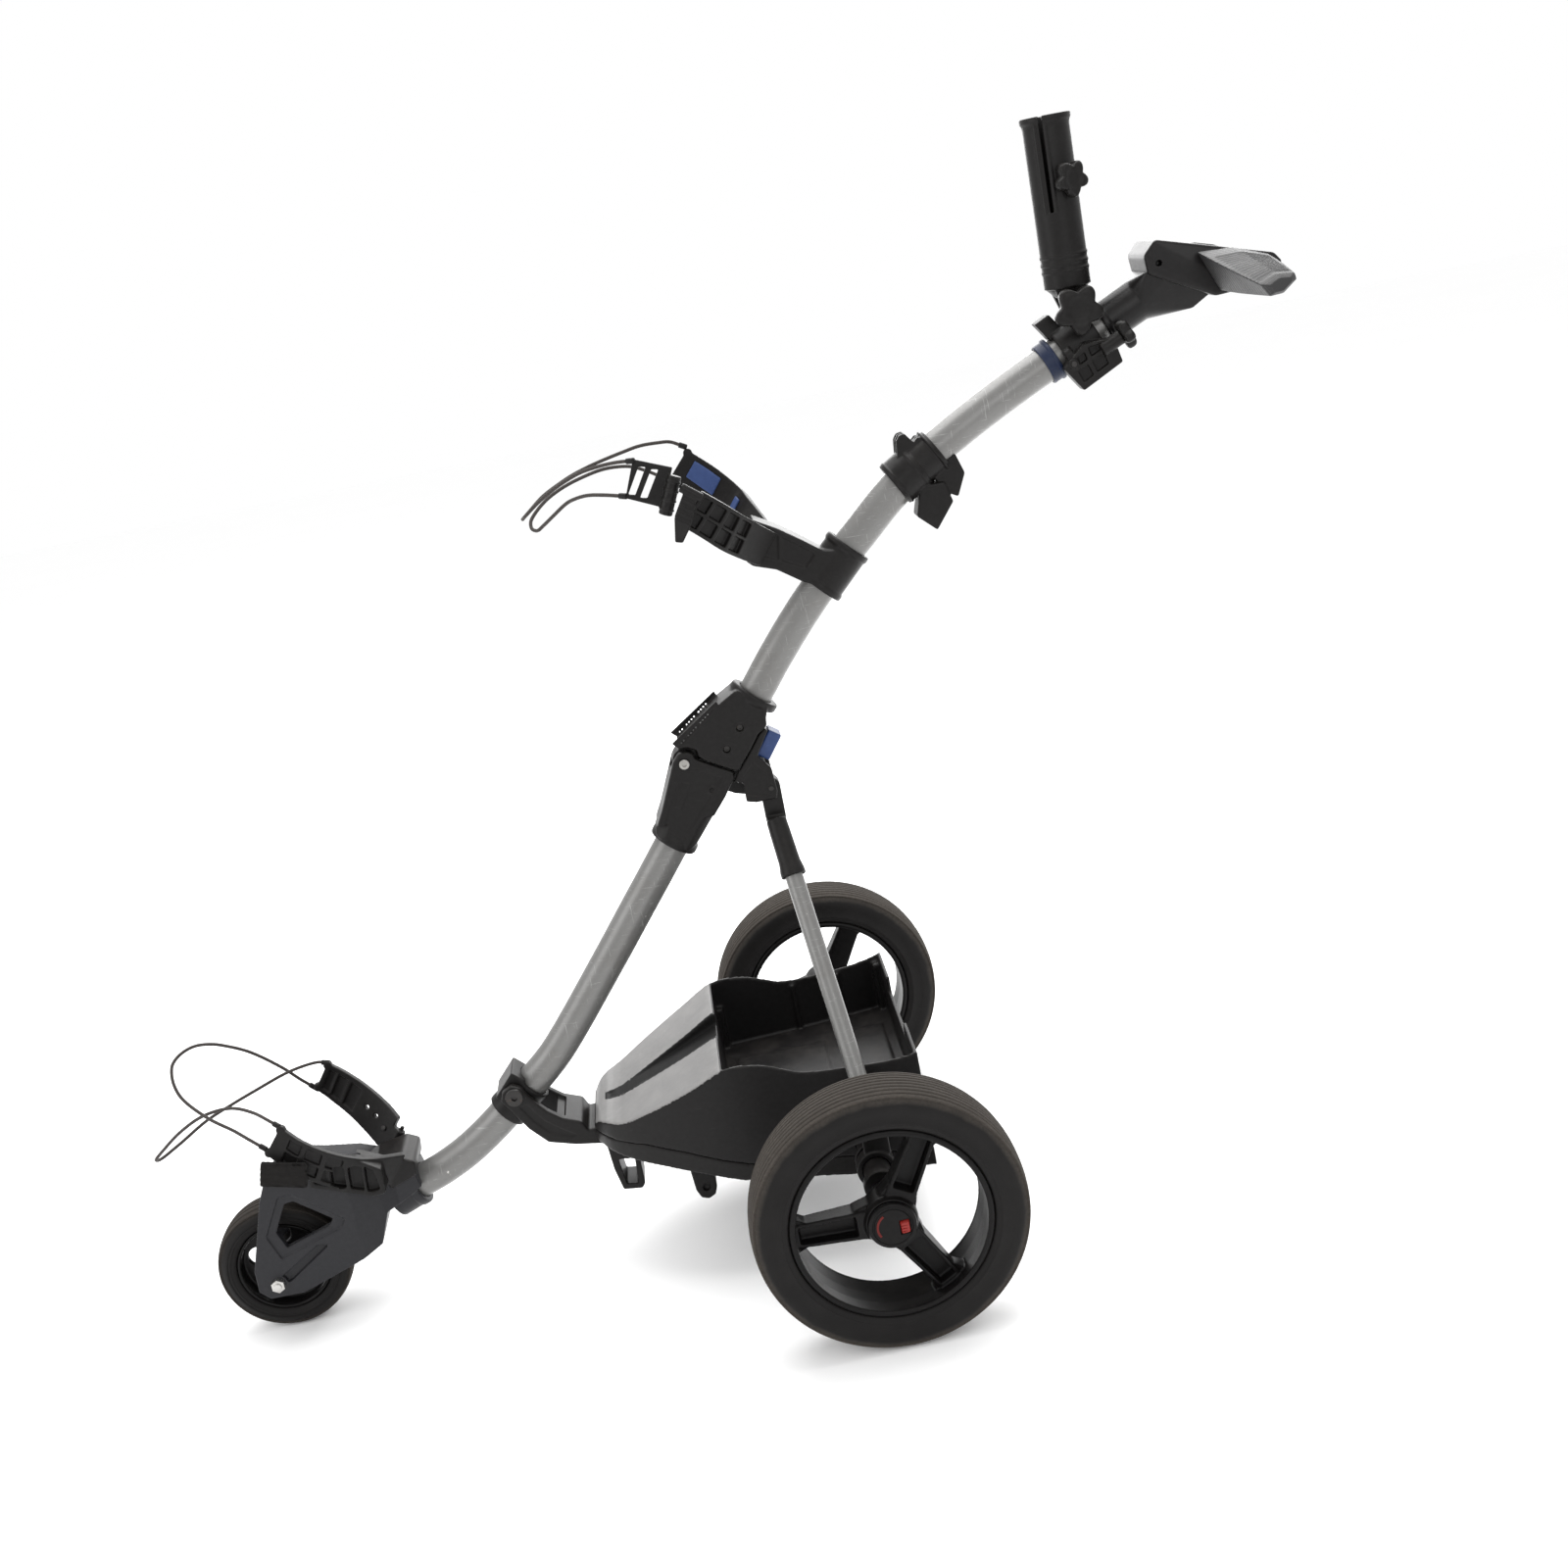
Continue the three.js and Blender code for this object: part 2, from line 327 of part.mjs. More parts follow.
// ---------------------------------------------------------------- drive unit, axle tubes and shafts
let drive = union(box(-34, -38, 104, 26, 30, 153.5), cyl([0, 29, WHEEL_Z], [0, 96, WHEEL_Z], 20.8, 28));
drive = drive.subtract(cyl([0,-60,WHEEL_Z],[0,120,WHEEL_Z], 6.6, 20));
node('drive_unit', drive, 'steel');
for (const [side, s] of [['left', -1], ['right', 1]]) {
  const y0 = side === 'left' ? 38.4 : 96.4;
  let at = ringLathe([[6.9,0],[13.4,0],[13.4,226-y0-16],[17,226-y0-10],[17,226-y0],[6.9,226-y0]], 24, [0, s*y0, WHEEL_Z], [0, s, 0]);
  if (side === 'left') at = union(at, ringLathe([[13,0],[19,0],[19,6],[13,6]], 24, [0, -165, WHEEL_Z], [0, -1, 0]));
  node('axle_tube_' + side, at, 'black_plastic');
  // shaft turns with the wheel
  node('axle_shaft_' + side, cyl([0, s*(side === 'left' ? 2 : 3), WHEEL_Z], [0, s*296, WHEEL_Z], 5.8, 20), 'steel');
  const c = [0, s*WHEEL_Y, WHEEL_Z], ax = [0, s, 0];
  node('tyre_' + side, tyreRing(c, WHEEL_R, TYRE_HALF, 96.8, s, 32), 'tyre');
  let rim = union(
    ringLathe([[89.5,-27],[95.8,-27],[95.8,27],[89.5,27],[92,0]], 32, c, ax),
    ringLathe([[6.1,-24],[18,-24],[24,-8],[24,24.5],[6.1,24.5]], 28, c, ax));
  for (let i = 0; i < 3; i++) {
    const a = Math.PI + i * 2 * Math.PI / 3, ca = Math.cos(a), sa = Math.sin(a);
    const P = [ca, 0, sa], Q = [0, s, 0];
    const side2 = cross(P, Q);
    // one spoke: outline across its width, swept along the radius as a tapered block with a trough
    const w0 = 15, w1 = 11.5;
    const pt = (r, w, d) => [c[0]+ca*r+side2[0]*w, c[1]+s*d, c[2]+sa*r+side2[2]*w];
    let spoke = hull([pt(20,-w0,-4),pt(20,w0,-4),pt(20,-w0,20),pt(20,w0,20),pt(92.5,-w1,-2),pt(92.5,w1,-2),pt(92.5,-w1,15),pt(92.5,w1,15)]);
    spoke = spoke.subtract(hull([pt(30,-w0+4.5,6),pt(30,w0-4.5,6),pt(30,-w0+4.5,24),pt(30,w0-4.5,24),pt(87,-w1+4,5),pt(87,w1-4,5),pt(87,-w1+4,19),pt(87,w1-4,19)]));
    rim = union(rim, spoke.subtract(cyl([c[0],c[1]-40,c[2]],[c[0],c[1]+40,c[2]], 12, 24)));
  }
  rim = rim.subtract(cyl([0, s*286, WHEEL_Z], [0, s*310, WHEEL_Z], 17, 24).subtract(cyl([0, s*280, WHEEL_Z], [0, s*320, WHEEL_Z], 10, 24)));
  node('rim_' + side, rim, 'rim_plastic');
  let cap = ringLathe([[0,296.8],[22.5,296.8],[23,298.5],[21,302.5],[0,303.5]].slice(0), 20, [0,0,WHEEL_Z], ax);
  cap = solid(lathe([[0,296.8],[22.5,296.8],[23,298.5],[21,302.5],[0,303.5]], 20, [0,0,WHEEL_Z], ax));
  cap = cap.subtract(box(4.6, s > 0 ? 299.6 : -320, WHEEL_Z-9.4, 18.6, s > 0 ? 320 : -299.6, WHEEL_Z+5.4));
  node('hub_cap_' + side, cap, 'rim_plastic');
  node('release_tab_' + side, hull([[5,s*300,WHEEL_Z-9],[18.2,s*300,WHEEL_Z-9],[5,s*300,WHEEL_Z+5],[18.2,s*300,WHEEL_Z+5],
    [6.5,s*306.5,WHEEL_Z-7],[16.5,s*305.5,WHEEL_Z-7],[6.5,s*306.5,WHEEL_Z+3],[16.5,s*305.5,WHEEL_Z+3]]), 'red_plastic');
}
// ---------------------------------------------------------------- bag cradles
// a curved strip given by stations of [top, bottom] points; thickness t across it
function ribbon(st, t) {
  const n = st.map((q, i) => {
    const a = st[Math.max(0, i-1)], b = st[Math.min(st.length-1, i+1)];
    const mid = (u) => [(u[0][0]+u[1][0])/2, (u[0][1]+u[1][1])/2, (u[0][2]+u[1][2])/2];
    const A = mid(a), B = mid(b), d = unit([B[0]-A[0], B[1]-A[1], B[2]-A[2]]);
    const w = unit([q[0][0]-q[1][0], q[0][1]-q[1][1], q[0][2]-q[1][2]]);
    return unit(cross(d, w));
  });
  let out = null;
  for (let i = 0; i + 1 < st.length; i++) {
    const pts = [];
    for (const k of [i, i+1]) for (const p of st[k]) for (const e of [-t/2, t/2])
      pts.push([p[0]+n[k][0]*e, p[1]+n[k][1]*e, p[2]+n[k][2]*e]);
    const h = hull(pts);
    out = out ? out.add(h) : h;
  }
  return out;
}
const lowNear = [[[-478,-29,177],[-500,-29,147]], [[-512,-52,192],[-529,-52,158]], [[-538,-68,212],[-556,-68,180]], [[-564,-72,234],[-583,-72,204]], [[-583,-66,252],[-604,-66,226]]];
const lowFar = [[[-485,36,182],[-511,36,148]], [[-499,52,200],[-524,52,164]], [[-520,66,222],[-544,66,190]], [[-540,72,241],[-561,72,210]], [[-554.5,72,254],[-574,72,227]]];
let forkClear = extY(forkSide, -54.4, 54.4).intersect(extZ([[-665,-54.4],[-540,-54.4],[-512,-40.4],[-496,-27.4],[-464,-27.4],[-464,27.4],[-496,27.4],[-512,40.4],[-540,54.4],[-665,54.4]], 40, 230));
forkClear = union(forkClear, forkClear.translate([0, 0, 0.4]), cyl(along(socketBase, frontDir, -8), along(socketBase, frontDir, 28), 24.4, 28));
let cradleBase = union(ribbon(lowNear, 7),
  // seat across the fork crown and the ribbed wall under the near arm
  extY([[-469,170],[-471,150],[-500,140],[-520,150],[-530,172],[-512,184],[-480,186]], -32, 30),
  extY([[-500,152],[-514,152],[-573,176],[-568,206],[-520,196],[-498,180]], -62, -46),
  extY([[-500,152],[-514,152],[-530,160],[-524,194],[-498,180]], -56, -28));
cradleBase = cut(cradleBase, forkClear, extY([[-504,158],[-513,157],[-533,165],[-529,190],[-506,180]], -70, -55),
  extY([[-536,167],[-568,180],[-564,201],[-532,192]], -70, -55));
// knuckle ears for the far arm
const kn = [-497, 37, 164], kA = along(kn, BAG_UP, 20), kB = along(kn, BAG_UP, -18);
cradleBase = union(cradleBase, cyl(along(kn, BAG_UP, 12.4), along(kn, BAG_UP, 18), 6.5, 18), cyl(along(kn, BAG_UP, -18), along(kn, BAG_UP, -12.4), 6.5, 18));
cradleBase = cut(cradleBase, cyl(along(kn, BAG_UP, -12.4), along(kn, BAG_UP, 12.4), 9, 20), cyl(kA, kB, 2.6, 14), forkClear,
  cyl(along(socketBase, frontDir, 20), along(socketBase, frontDir, 80), 24.4, 28));
const baseParts = cradleBase.decompose().sort((p, q) => q.volume() - p.volume());
node('lower_cradle_base', baseParts[0], 'black_plastic');
let armFar = ribbon(lowFar, 7);
armFar = union(cut(armFar, cyl(along(kn, BAG_UP, 12), along(kn, BAG_UP, 30), 8.6, 20), cyl(along(kn, BAG_UP, -30), along(kn, BAG_UP, -12), 8.6, 20)),
  cyl(along(kn, BAG_UP, -12), along(kn, BAG_UP, 12), 5.6, 18), cyl(along(kn, BAG_UP, -17), along(kn, BAG_UP, 17), 2.2, 14));
armFar = cut(armFar, cradleBase, forkClear.translate([0,0,0.6])).decompose().sort((p, q) => q.volume() - p.volume())[0];
node('lower_arm_far', armFar, 'black_plastic');
cradleBase = null;
const LOW_LEVER_AXIS = unit([0.2, 0, 0.98]);
let lowLever = hull([[-564,-77,213],[-564,-84,213],[-570,-77,187],[-570,-84,187],[-602,-78,225],[-602,-86,225],[-610,-78,205],[-610,-86,205]]);
node('lower_cam_lever', lowLever, 'black_plastic');

const cordA = [[-557,71.6,254.6],[-565,71,257],[-593,62,257],[-632,50,248],[-658,42,241],[-686,34,232],[-716,24,217],[-737,12,209],[-738,2,214],[-723,-6,228],[-700,-14,246],[-669,-24,263],[-634,-38,271],[-610,-50,266],[-595,-60,259],[-587,-64.6,254.2]];
const cordB = [[-577.2,71.6,230.4],[-587,68,243],[-600,64,261],[-626,52,292],[-645,44,307],[-658,36,316],[-673,27,321],[-686,18,319],[-694,8,313],[-695,-2,303],[-692,-10,292],[-685,-18,282],[-660,-36,264],[-634,-52,252],[-618,-61,242],[-606.5,-64.8,233]];
node('lower_cord_a', tube(cordA, 1.75, 8, 42), 'cord');
node('lower_cord_b', tube(cordB, 1.75, 8, 42), 'cord');

// upper cradle
const upNear = [[[26,-26,742],[4,-26,714]], [[8,-52,760],[-14,-52,729]], [[-6,-74,775],[-30,-74,744]], [[-20,-85,789],[-46,-85,761]], [[-36,-88,803],[-62,-88,776]]];
const upFar = [[[26,26,742],[4,26,714]], [[14,52,764],[-10,52,732]], [[8,74,774],[-16,74,744]], [[-12,84,798],[-36,84,768]], [[-39.5,86,824],[-64,86,797]]];
node('upper_arm_near', ribbon(upNear, 7), 'black_plastic');
node('upper_arm_far', ribbon(upFar, 7), 'black_plastic');
const upTan = unit([37, 0, 36]);
let bracket = union(
  cyl(along([79,0,692.5], upTan, -24), along([79,0,692.5], upTan, 26), 23, 28),
  extY([[8,757],[30,744],[52,728],[70,714],[98,708],[66,676],[44,688],[22,704],[0,712],[-6,718]], -21, 21));
bracket = cut(bracket, upperBoreT, ribbon(upNear, 8), ribbon(upFar, 8));
bracket = bracket.decompose().sort((p, q) => q.volume() - p.volume())[0];
node('upper_cradle_bracket', bracket, 'black_plastic');
// ladder-shaped buckle with its roller, clipped on the near arm's tip
let ladder = hull([[-93,-86,844],[-93,-83,844],[-107,-86,810],[-107,-83,810],[-58.5,-86,829.5],[-58.5,-83,829.5],[-74.5,-86,794.5],[-74.5,-83,794.5]]);
for (const f of [0.24, 0.62]) {
  const a = [-93+29*f, 844-12*f], b = [-107+27*f, 810-13*f];
  ladder = ladder.subtract(extY([[a[0]-3.2,a[1]-5],[a[0]+3.2,a[1]-6.5],[b[0]+3.2,b[1]+4.5],[b[0]-3.2,b[1]+6]].reverse(), -90, -80));
}
ladder = union(ladder, cyl([-58,-88,822],[-74,-88,788], 6.5, 16));
ladder = cut(ladder, ribbon(upNear, 8));
node('upper_ladder', ladder.decompose().sort((p, q) => q.volume() - p.volume())[0], 'black_plastic');
let upLever = union(cyl([-55,-100,812],[-38,-100,798.2], 4.5, 14),
  hull([[-50,-96,812],[-50,-103,812],[-40,-96,804],[-40,-103,804],[-66,-97,786],[-66,-103,786],[-52,-97,776],[-52,-103,776]]),
  hull([[-66,-97,786],[-66,-103,786],[-52,-97,776],[-52,-103,776],[-70,-104,764],[-70,-108,764],[-63,-104,762],[-63,-108,762]]));
node('upper_cam_lever', upLever, 'black_plastic');
const cordC = [[-43.2,85.6,828.4],[-55,84,835],[-68,80,837],[-86,74,838],[-103,68,836],[-135,54,831],[-156,45,826],[-173,36,820],[-189,26,813],[-201,16,805],[-211,5,798],[-207,-8,802],[-191,-20,814],[-175,-32,824],[-159,-44,832],[-143,-54,838],[-120,-68,842],[-106,-78,843],[-95.8,-83.6,842.6]];
const cordD = [[-68.2,85.4,800.4],[-82,82,810],[-98,76,819],[-114,66,823],[-129,56,824],[-146,46,822],[-161,37,819],[-174,28,815],[-187,19,809],[-199,10,800],[-204,4,794],[-204,-2,788],[-199,-8,786],[-191,-16,791],[-180,-26,799],[-164,-38,810],[-154,-48,814],[-142,-58,816],[-126,-72,815],[-109,-83.4,812.2]];
node('upper_cord_c', tube(cordC, 1.75, 8, 42), 'cord');
node('upper_cord_d', tube(cordD, 1.75, 8, 42), 'cord');

// ---------------------------------------------------------------- shaft accessories
const tanAt = (i) => unit([upperLine[i+1][0]-upperLine[i][0], 0, upperLine[i+1][2]-upperLine[i][2]]);
const d8 = tanAt(8);
let acc = union(
  extY([[176,756],[168,727],[186,710],[206,735],[200,756]], -15, 12),
  extY([[186,770],[200,745],[212,738],[222,760],[214,784]], -12, 12));
for (const y of [-12.4, -2.1, 8.3]) acc = union(acc, extY([[158,780],[160,803],[169,809],[177,799],[184,802],[191,795],[187,779]], y, y + 5));
acc = acc.subtract(tube(upperLine, 20.4, 14, 14));
acc = union(acc, union(
  cyl(along([182,0,777], d8, -34), along([182,0,777], d8, -4), 23.5, 28),
  cyl(along([182,0,777], d8, -6), along([182,0,777], d8, 20), 22, 28)).subtract(tube(upperLine, TUBE_R + 0.5, 14, 14)));
node('accessory_clamp', acc, 'black_plastic');
const d11 = tanAt(11);
let blueRing = union(cyl(along([322,0,848.3], d11, -7), along([322,0,848.3], d11, 3), 20.5, 28), cyl(along([322,0,848.3], d11, 1), along([322,0,848.3], d11, 6), 22, 28)).subtract(cyl(along([322,0,848.3], d11, -12), along([322,0,848.3], d11, 12), 18.9, 28));
node('shaft_collar_blue', blueRing, 'blue_plastic');

const um = along([350,0,860.3], tanAt(12), 0), du = tanAt(12), TILT = [350, 894];
let uclamp = union(
  cyl(along(um, du, -18), along(um, du, 20), 25, 28),
  union(extY([[336,866],[341,890],[359,890],[364,878]], -8, 8), cyl([TILT[0],-8,TILT[1]],[TILT[0],8,TILT[1]], 8, 20)),
  extY([[311,886],[326,893],[336,880],[334,868],[324,868]], -9, 9),
  extY([[328,842],[345,818],[386,838],[380,862],[350,862]], -34, -16),
  cyl([333,-25,852],[340,-25,855], 6.5, 14));
uclamp = cut(uclamp, upperBoreT, cyl([TILT[0],-30,TILT[1]],[TILT[0],30,TILT[1]], 3.6, 16),
  extY([[346,826],[356,831],[352,842],[341,838]], -40, -29), extY([[360,833],[372,839],[368,850],[356,845]], -40, -29));
uclamp = union(uclamp, cyl(along([366,-36.5,853], du, 0), along([366,-36.5,853], du, 22), 7, 16).subtract(upperBoreT));
uclamp = cut(uclamp, cyl(along([322,0,848.3], d11, -12), along([322,0,848.3], d11, 7.2), 24, 20),
  box(330, -15.2, 885, 372, -8.2, 930), box(330, 8.2, 885, 372, 15.2, 930),
  cyl([TILT[0],-15.2,TILT[1]],[TILT[0],-8.2,TILT[1]], 9, 20), cyl([TILT[0],8.2,TILT[1]],[TILT[0],15.2,TILT[1]], 9, 20),
  box(300, -9.5, 896.5, 341, 9.5, 930));
uclamp = uclamp.decompose().sort((p, q) => q.volume() - p.volume())[0];
uclamp = uclamp.subtract(cyl(along([366,-36.5,853], du, 8), along([366,-36.5,853], du, 40), 3.4, 14));
node('umbrella_clamp', uclamp, 'black_plastic');
function starKnob(c, d, r, th, shaftR, shaftLen) {
  // five-lobed knob whose face looks along d, with its screw behind it
  const [X, Y, Z] = frameFor(d), pts = [];
  for (let i = 0; i < 20; i++) { const a = i / 20 * 2 * Math.PI, R = r * (0.86 + 0.14 * Math.cos(5 * a)); pts.push([R*Math.cos(a), R*Math.sin(a)]); }
  return union(extL(pts, c, X, Y, 0, th), cyl(along(c, d, -shaftLen), along(c, d, 1), shaftR, 14));
}
node('umbrella_clamp_knob', starKnob(along([366,-36.5,853], du, 22.4), du, 14.5, 10, 3.0, 12), 'black_plastic');
let holder = union(
  ringLathe([[18.6,-2],[22.4,-2],[22.4,148],[24.4,152],[24.4,156],[18.6,156]], 20, [350,0,917], [0,0,1]),
  solid(lathe([[0,0],[13,0],[20,8],[21.8,16],[0,16]], 20, [350,0,906], [0,0,1])),
  ...[[-14.5, -8.5], [8.5, 14.5]].map(([a, b]) => union(extY([[342,894],[358,894],[366,916],[334,916]], a, b), cyl([TILT[0],a,TILT[1]],[TILT[0],b,TILT[1]], 8, 20))));
const kd = unit([0.36, -0.93, 0]);
const kc = [350+kd[0]*24, kd[1]*24, 1013];
holder = union(holder, cyl([350+kd[0]*19.5, kd[1]*19.5, 1013], kc, 7, 16));
holder = cut(holder, box(346.5, -30, 985, 353, -10, 1090).translate([-9, 0, 0]), cyl([TILT[0],-30,TILT[1]],[TILT[0],30,TILT[1]], 3.6, 16),
  cyl([350+kd[0]*10, kd[1]*10, 1013], [350+kd[0]*40, kd[1]*40, 1013], 3.4, 14));
node('umbrella_holder', holder, 'black_plastic');
node('umbrella_tube_knob', starKnob([350+kd[0]*24.4, kd[1]*24.4, 1013], kd, 17, 12, 3.0, 10), 'black_plastic');
node('umbrella_tilt_knob', starKnob([TILT[0], -25.8, TILT[1]], [0,-1,0], 23.5, 14, 3.1, 40), 'black_plastic');

// ---------------------------------------------------------------- handle
const dn = tanAt(13);
const ringPts = (c, d, r, k = 16) => { const [X, Y] = frameFor(d); return Array.from({ length: k }, (_, i) => { const a = i/k*2*Math.PI; return [c[0]+r*(X[0]*Math.cos(a)+Y[0]*Math.sin(a)), c[1]+r*(X[1]*Math.cos(a)+Y[1]*Math.sin(a)), c[2]+r*(X[2]*Math.cos(a)+Y[2]*Math.sin(a))]; }); };
let neck = union(
  hull([...ringPts([378,0,873], dn, 20.6), ...ringPts([418,0,891], dn, 20.8)]),
  hull([...ringPts([414,0,889], dn, 20.8), [421,-26,911],[421,26,911],[440,-30,901.5],[440,30,901.5],[479,-32,881.5],[479,32,881.5],[462,-24,874],[462,24,874]]));
neck = neck.subtract(upperBoreT);
node('handle_neck', neck, 'black_plastic');
const HN = unit([32, 0, 110]);   // normal of the head's top plane
const headTop = [486, 0, 927.7];
let head = hull([[431,-34,944],[431,34,944],[540,-44,912],[540,44,912],[419,-32,931],[419,32,931],[421.2,-30,913],[421.2,30,913],
  [480.4,-42,882.2],[480.4,42,882.2],[506,-46,884],[506,46,884],[547,-46,902],[547,46,902]]);
head = head.subtract(cyl(along(headTop, HN, -7), along(headTop, HN, 12), 13.4, 28));
node('handle_head', head, 'black_plastic');
const dialSides = []; 
node('speed_dial', cyl(along(headTop, HN, -6.6), along(headTop, HN, 1.6), 13.0, 24), 'black_plastic');
const gA = [[466,926],[500,924],[533,912],[539,903],[520,890],[484,887]], gB = [[474,896],[488,903],[503.5,901.5],[504.5,896],[492,886.5],[481,886]];
for (const [side, s] of [['left', -1], ['right', 1]]) {
  let grip = hull([...gA.map((q) => [q[0], s*44, q[1]]), ...gB.map((q) => [q[0], s*200, q[1]])]);
  const clear = hull([[430,-34.6,946],[430,34.6,946],[541,-44.5,914],[541,44.5,914],[418,-32.5,931],[418,32.5,931],[421,-30.5,912],[421,30.5,912],
    [480,-42.5,880],[480,42.5,880],[506.5,-46.5,882],[506.5,46.5,882],[549,-46.5,902],[549,46.5,902]]);
  grip = grip.subtract(clear);
  node('grip_' + side, grip.decompose().sort((p, q) => q.volume() - p.volume())[0], 'grip_rubber');
}

export default group;
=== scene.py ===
import json
import math

import bmesh
import bpy
from mathutils import Matrix, Vector, noise

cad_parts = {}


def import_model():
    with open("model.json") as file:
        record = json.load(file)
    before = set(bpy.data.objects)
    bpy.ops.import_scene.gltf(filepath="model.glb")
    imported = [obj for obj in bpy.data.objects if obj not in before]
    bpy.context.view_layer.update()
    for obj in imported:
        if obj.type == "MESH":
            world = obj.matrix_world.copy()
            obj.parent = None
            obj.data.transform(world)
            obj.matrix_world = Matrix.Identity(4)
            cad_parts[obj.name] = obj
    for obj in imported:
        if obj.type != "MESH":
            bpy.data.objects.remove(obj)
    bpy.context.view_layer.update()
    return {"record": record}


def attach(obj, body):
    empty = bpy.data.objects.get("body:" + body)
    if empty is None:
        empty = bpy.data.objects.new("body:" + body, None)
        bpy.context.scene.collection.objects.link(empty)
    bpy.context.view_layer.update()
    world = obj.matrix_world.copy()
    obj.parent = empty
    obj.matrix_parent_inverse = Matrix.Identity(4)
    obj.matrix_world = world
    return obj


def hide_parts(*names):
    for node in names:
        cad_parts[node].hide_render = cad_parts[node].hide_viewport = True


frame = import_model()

OX = 79.6  # the working frame has x = 0 on the rear axle; everything below is in its millimetres
WHEEL_R, WHEEL_Y = 132.5, 272.0
FRONT = (-634.7, 71.5)
PIVOT = (-106, 530)
CHP = (-351, 216)
TUBE_R, TUBE_BORE = 17.8, 15.6
TILT = (350, 894)
BAG_UP = (0.63, 0, 0.777)

BODY = {}
for _b, _nodes in frame["record"]["behaviour"]["bodies"].items():
    for _n in _nodes:
        BODY[_n] = _b
SLOT = {q["node"]: q["material_slot"] for q in frame["record"]["subparts"]}


def W(p):
    return Vector(((p[0] + OX) / 1000, p[1] / 1000, p[2] / 1000))


# ------------------------------------------------------------------ camera
cam = bpy.data.cameras.new("cam")
cam_ob = bpy.data.objects.new("cam", cam)
bpy.context.scene.collection.objects.link(cam_ob)
yaw, pitch, roll = 0.0317, 0.2937, -0.1934
f_ = Vector((math.sin(yaw) * math.cos(pitch), math.cos(yaw) * math.cos(pitch), -math.sin(pitch)))
r_ = Vector((math.cos(yaw), -math.sin(yaw), 0))
u_ = r_.cross(f_)
c_, s_ = math.cos(roll), math.sin(roll)
r2, u2 = c_ * r_ + s_ * u_, -s_ * r_ + c_ * u_
rot = Matrix((r2, u2, -f_)).transposed()
cam_ob.matrix_world = Matrix.Translation((0.0107, -1.8352, 1.0368)) @ rot.to_4x4()
cam.sensor_fit = "HORIZONTAL"
cam.sensor_width = 36
cam.lens = 42.95
cam.clip_start = 0.05
bpy.context.scene.camera = cam_ob


# ------------------------------------------------------------------ materials
class Nodes:
    def __init__(self, name):
        self.m = bpy.data.materials.new(name)
        self.m.use_nodes = True
        self.t = self.m.node_tree
        self.t.nodes.clear()
        self.out = self.t.nodes.new("ShaderNodeOutputMaterial")
        self.b = self.t.nodes.new("ShaderNodeBsdfPrincipled")
        self.t.links.new(self.b.outputs[0], self.out.inputs[0])
        self.tc = self.t.nodes.new("ShaderNodeTexCoord")
        self.co = self.tc.outputs["Object"]

    def n(self, kind, **kw):
        q = self.t.nodes.new(kind)
        for k, v in kw.items():
            setattr(q, k, v)
        return q

    def link(self, a, b):
        self.t.links.new(a, b)

    def noise(self, scale, detail=4, rough=0.55, co=None, dist=0.0):
        q = self.n("ShaderNodeTexNoise")
        q.inputs["Scale"].default_value = scale
        q.inputs["Detail"].default_value = detail
        q.inputs["Roughness"].default_value = rough
        q.inputs["Distortion"].default_value = dist
        self.link(co or self.co, q.inputs["Vector"])
        return q.outputs["Fac"]

    def vor(self, scale, feature="F1", co=None, out="Distance"):
        q = self.n("ShaderNodeTexVoronoi", feature=feature)
        q.inputs["Scale"].default_value = scale
        self.link(co or self.co, q.inputs["Vector"])
        return q.outputs[out]

    def ramp(self, fac, a, b, ca=(0, 0, 0, 1), cb=(1, 1, 1, 1)):
        q = self.n("ShaderNodeValToRGB")
        q.color_ramp.elements[0].position = a
        q.color_ramp.elements[1].position = b
        q.color_ramp.elements[0].color = ca
        q.color_ramp.elements[1].color = cb
        self.link(fac, q.inputs[0])
        return q.outputs[0]

    def math(self, op, a, b=None, clamp=False):
        q = self.n("ShaderNodeMath", operation=op, use_clamp=clamp)
        for i, v in enumerate((a, b)):
            if v is None:
                continue
            if isinstance(v, (int, float)):
                q.inputs[i].default_value = v
            else:
                self.link(v, q.inputs[i])
        return q.outputs[0]

    def mix(self, fac, a, b):
        q = self.n("ShaderNodeMix", data_type="RGBA")
        for i, v in ((0, fac), (6, a), (7, b)):
            if isinstance(v, (int, float)):
                q.inputs[i].default_value = v
            elif isinstance(v, tuple):
                q.inputs[i].default_value = v if len(v) == 4 else (*v, 1)
            else:
                self.link(v, q.inputs[i])
        return q.outputs[2]

    def mapping(self, scale=(1, 1, 1), rot=(0, 0, 0), co=None):
        q = self.n("ShaderNodeMapping")
        q.inputs["Scale"].default_value = scale
        q.inputs["Rotation"].default_value = rot
        self.link(co or self.co, q.inputs[0])
        return q.outputs[0]

    def bump(self, height, strength, distance, prev=None):
        q = self.n("ShaderNodeBump")
        q.inputs["Strength"].default_value = strength
        q.inputs["Distance"].default_value = distance
        self.link(height, q.inputs["Height"])
        if prev is not None:
            self.link(prev, q.inputs["Normal"])
        return q.outputs[0]

    def up(self):
        """How far the surface faces up, 0 to 1, in the object's own frame."""
        g = self.n("ShaderNodeSeparateXYZ")
        self.link(self.tc.outputs["Normal"], g.inputs[0])
        return self.math("MAXIMUM", g.outputs[2], 0.0)


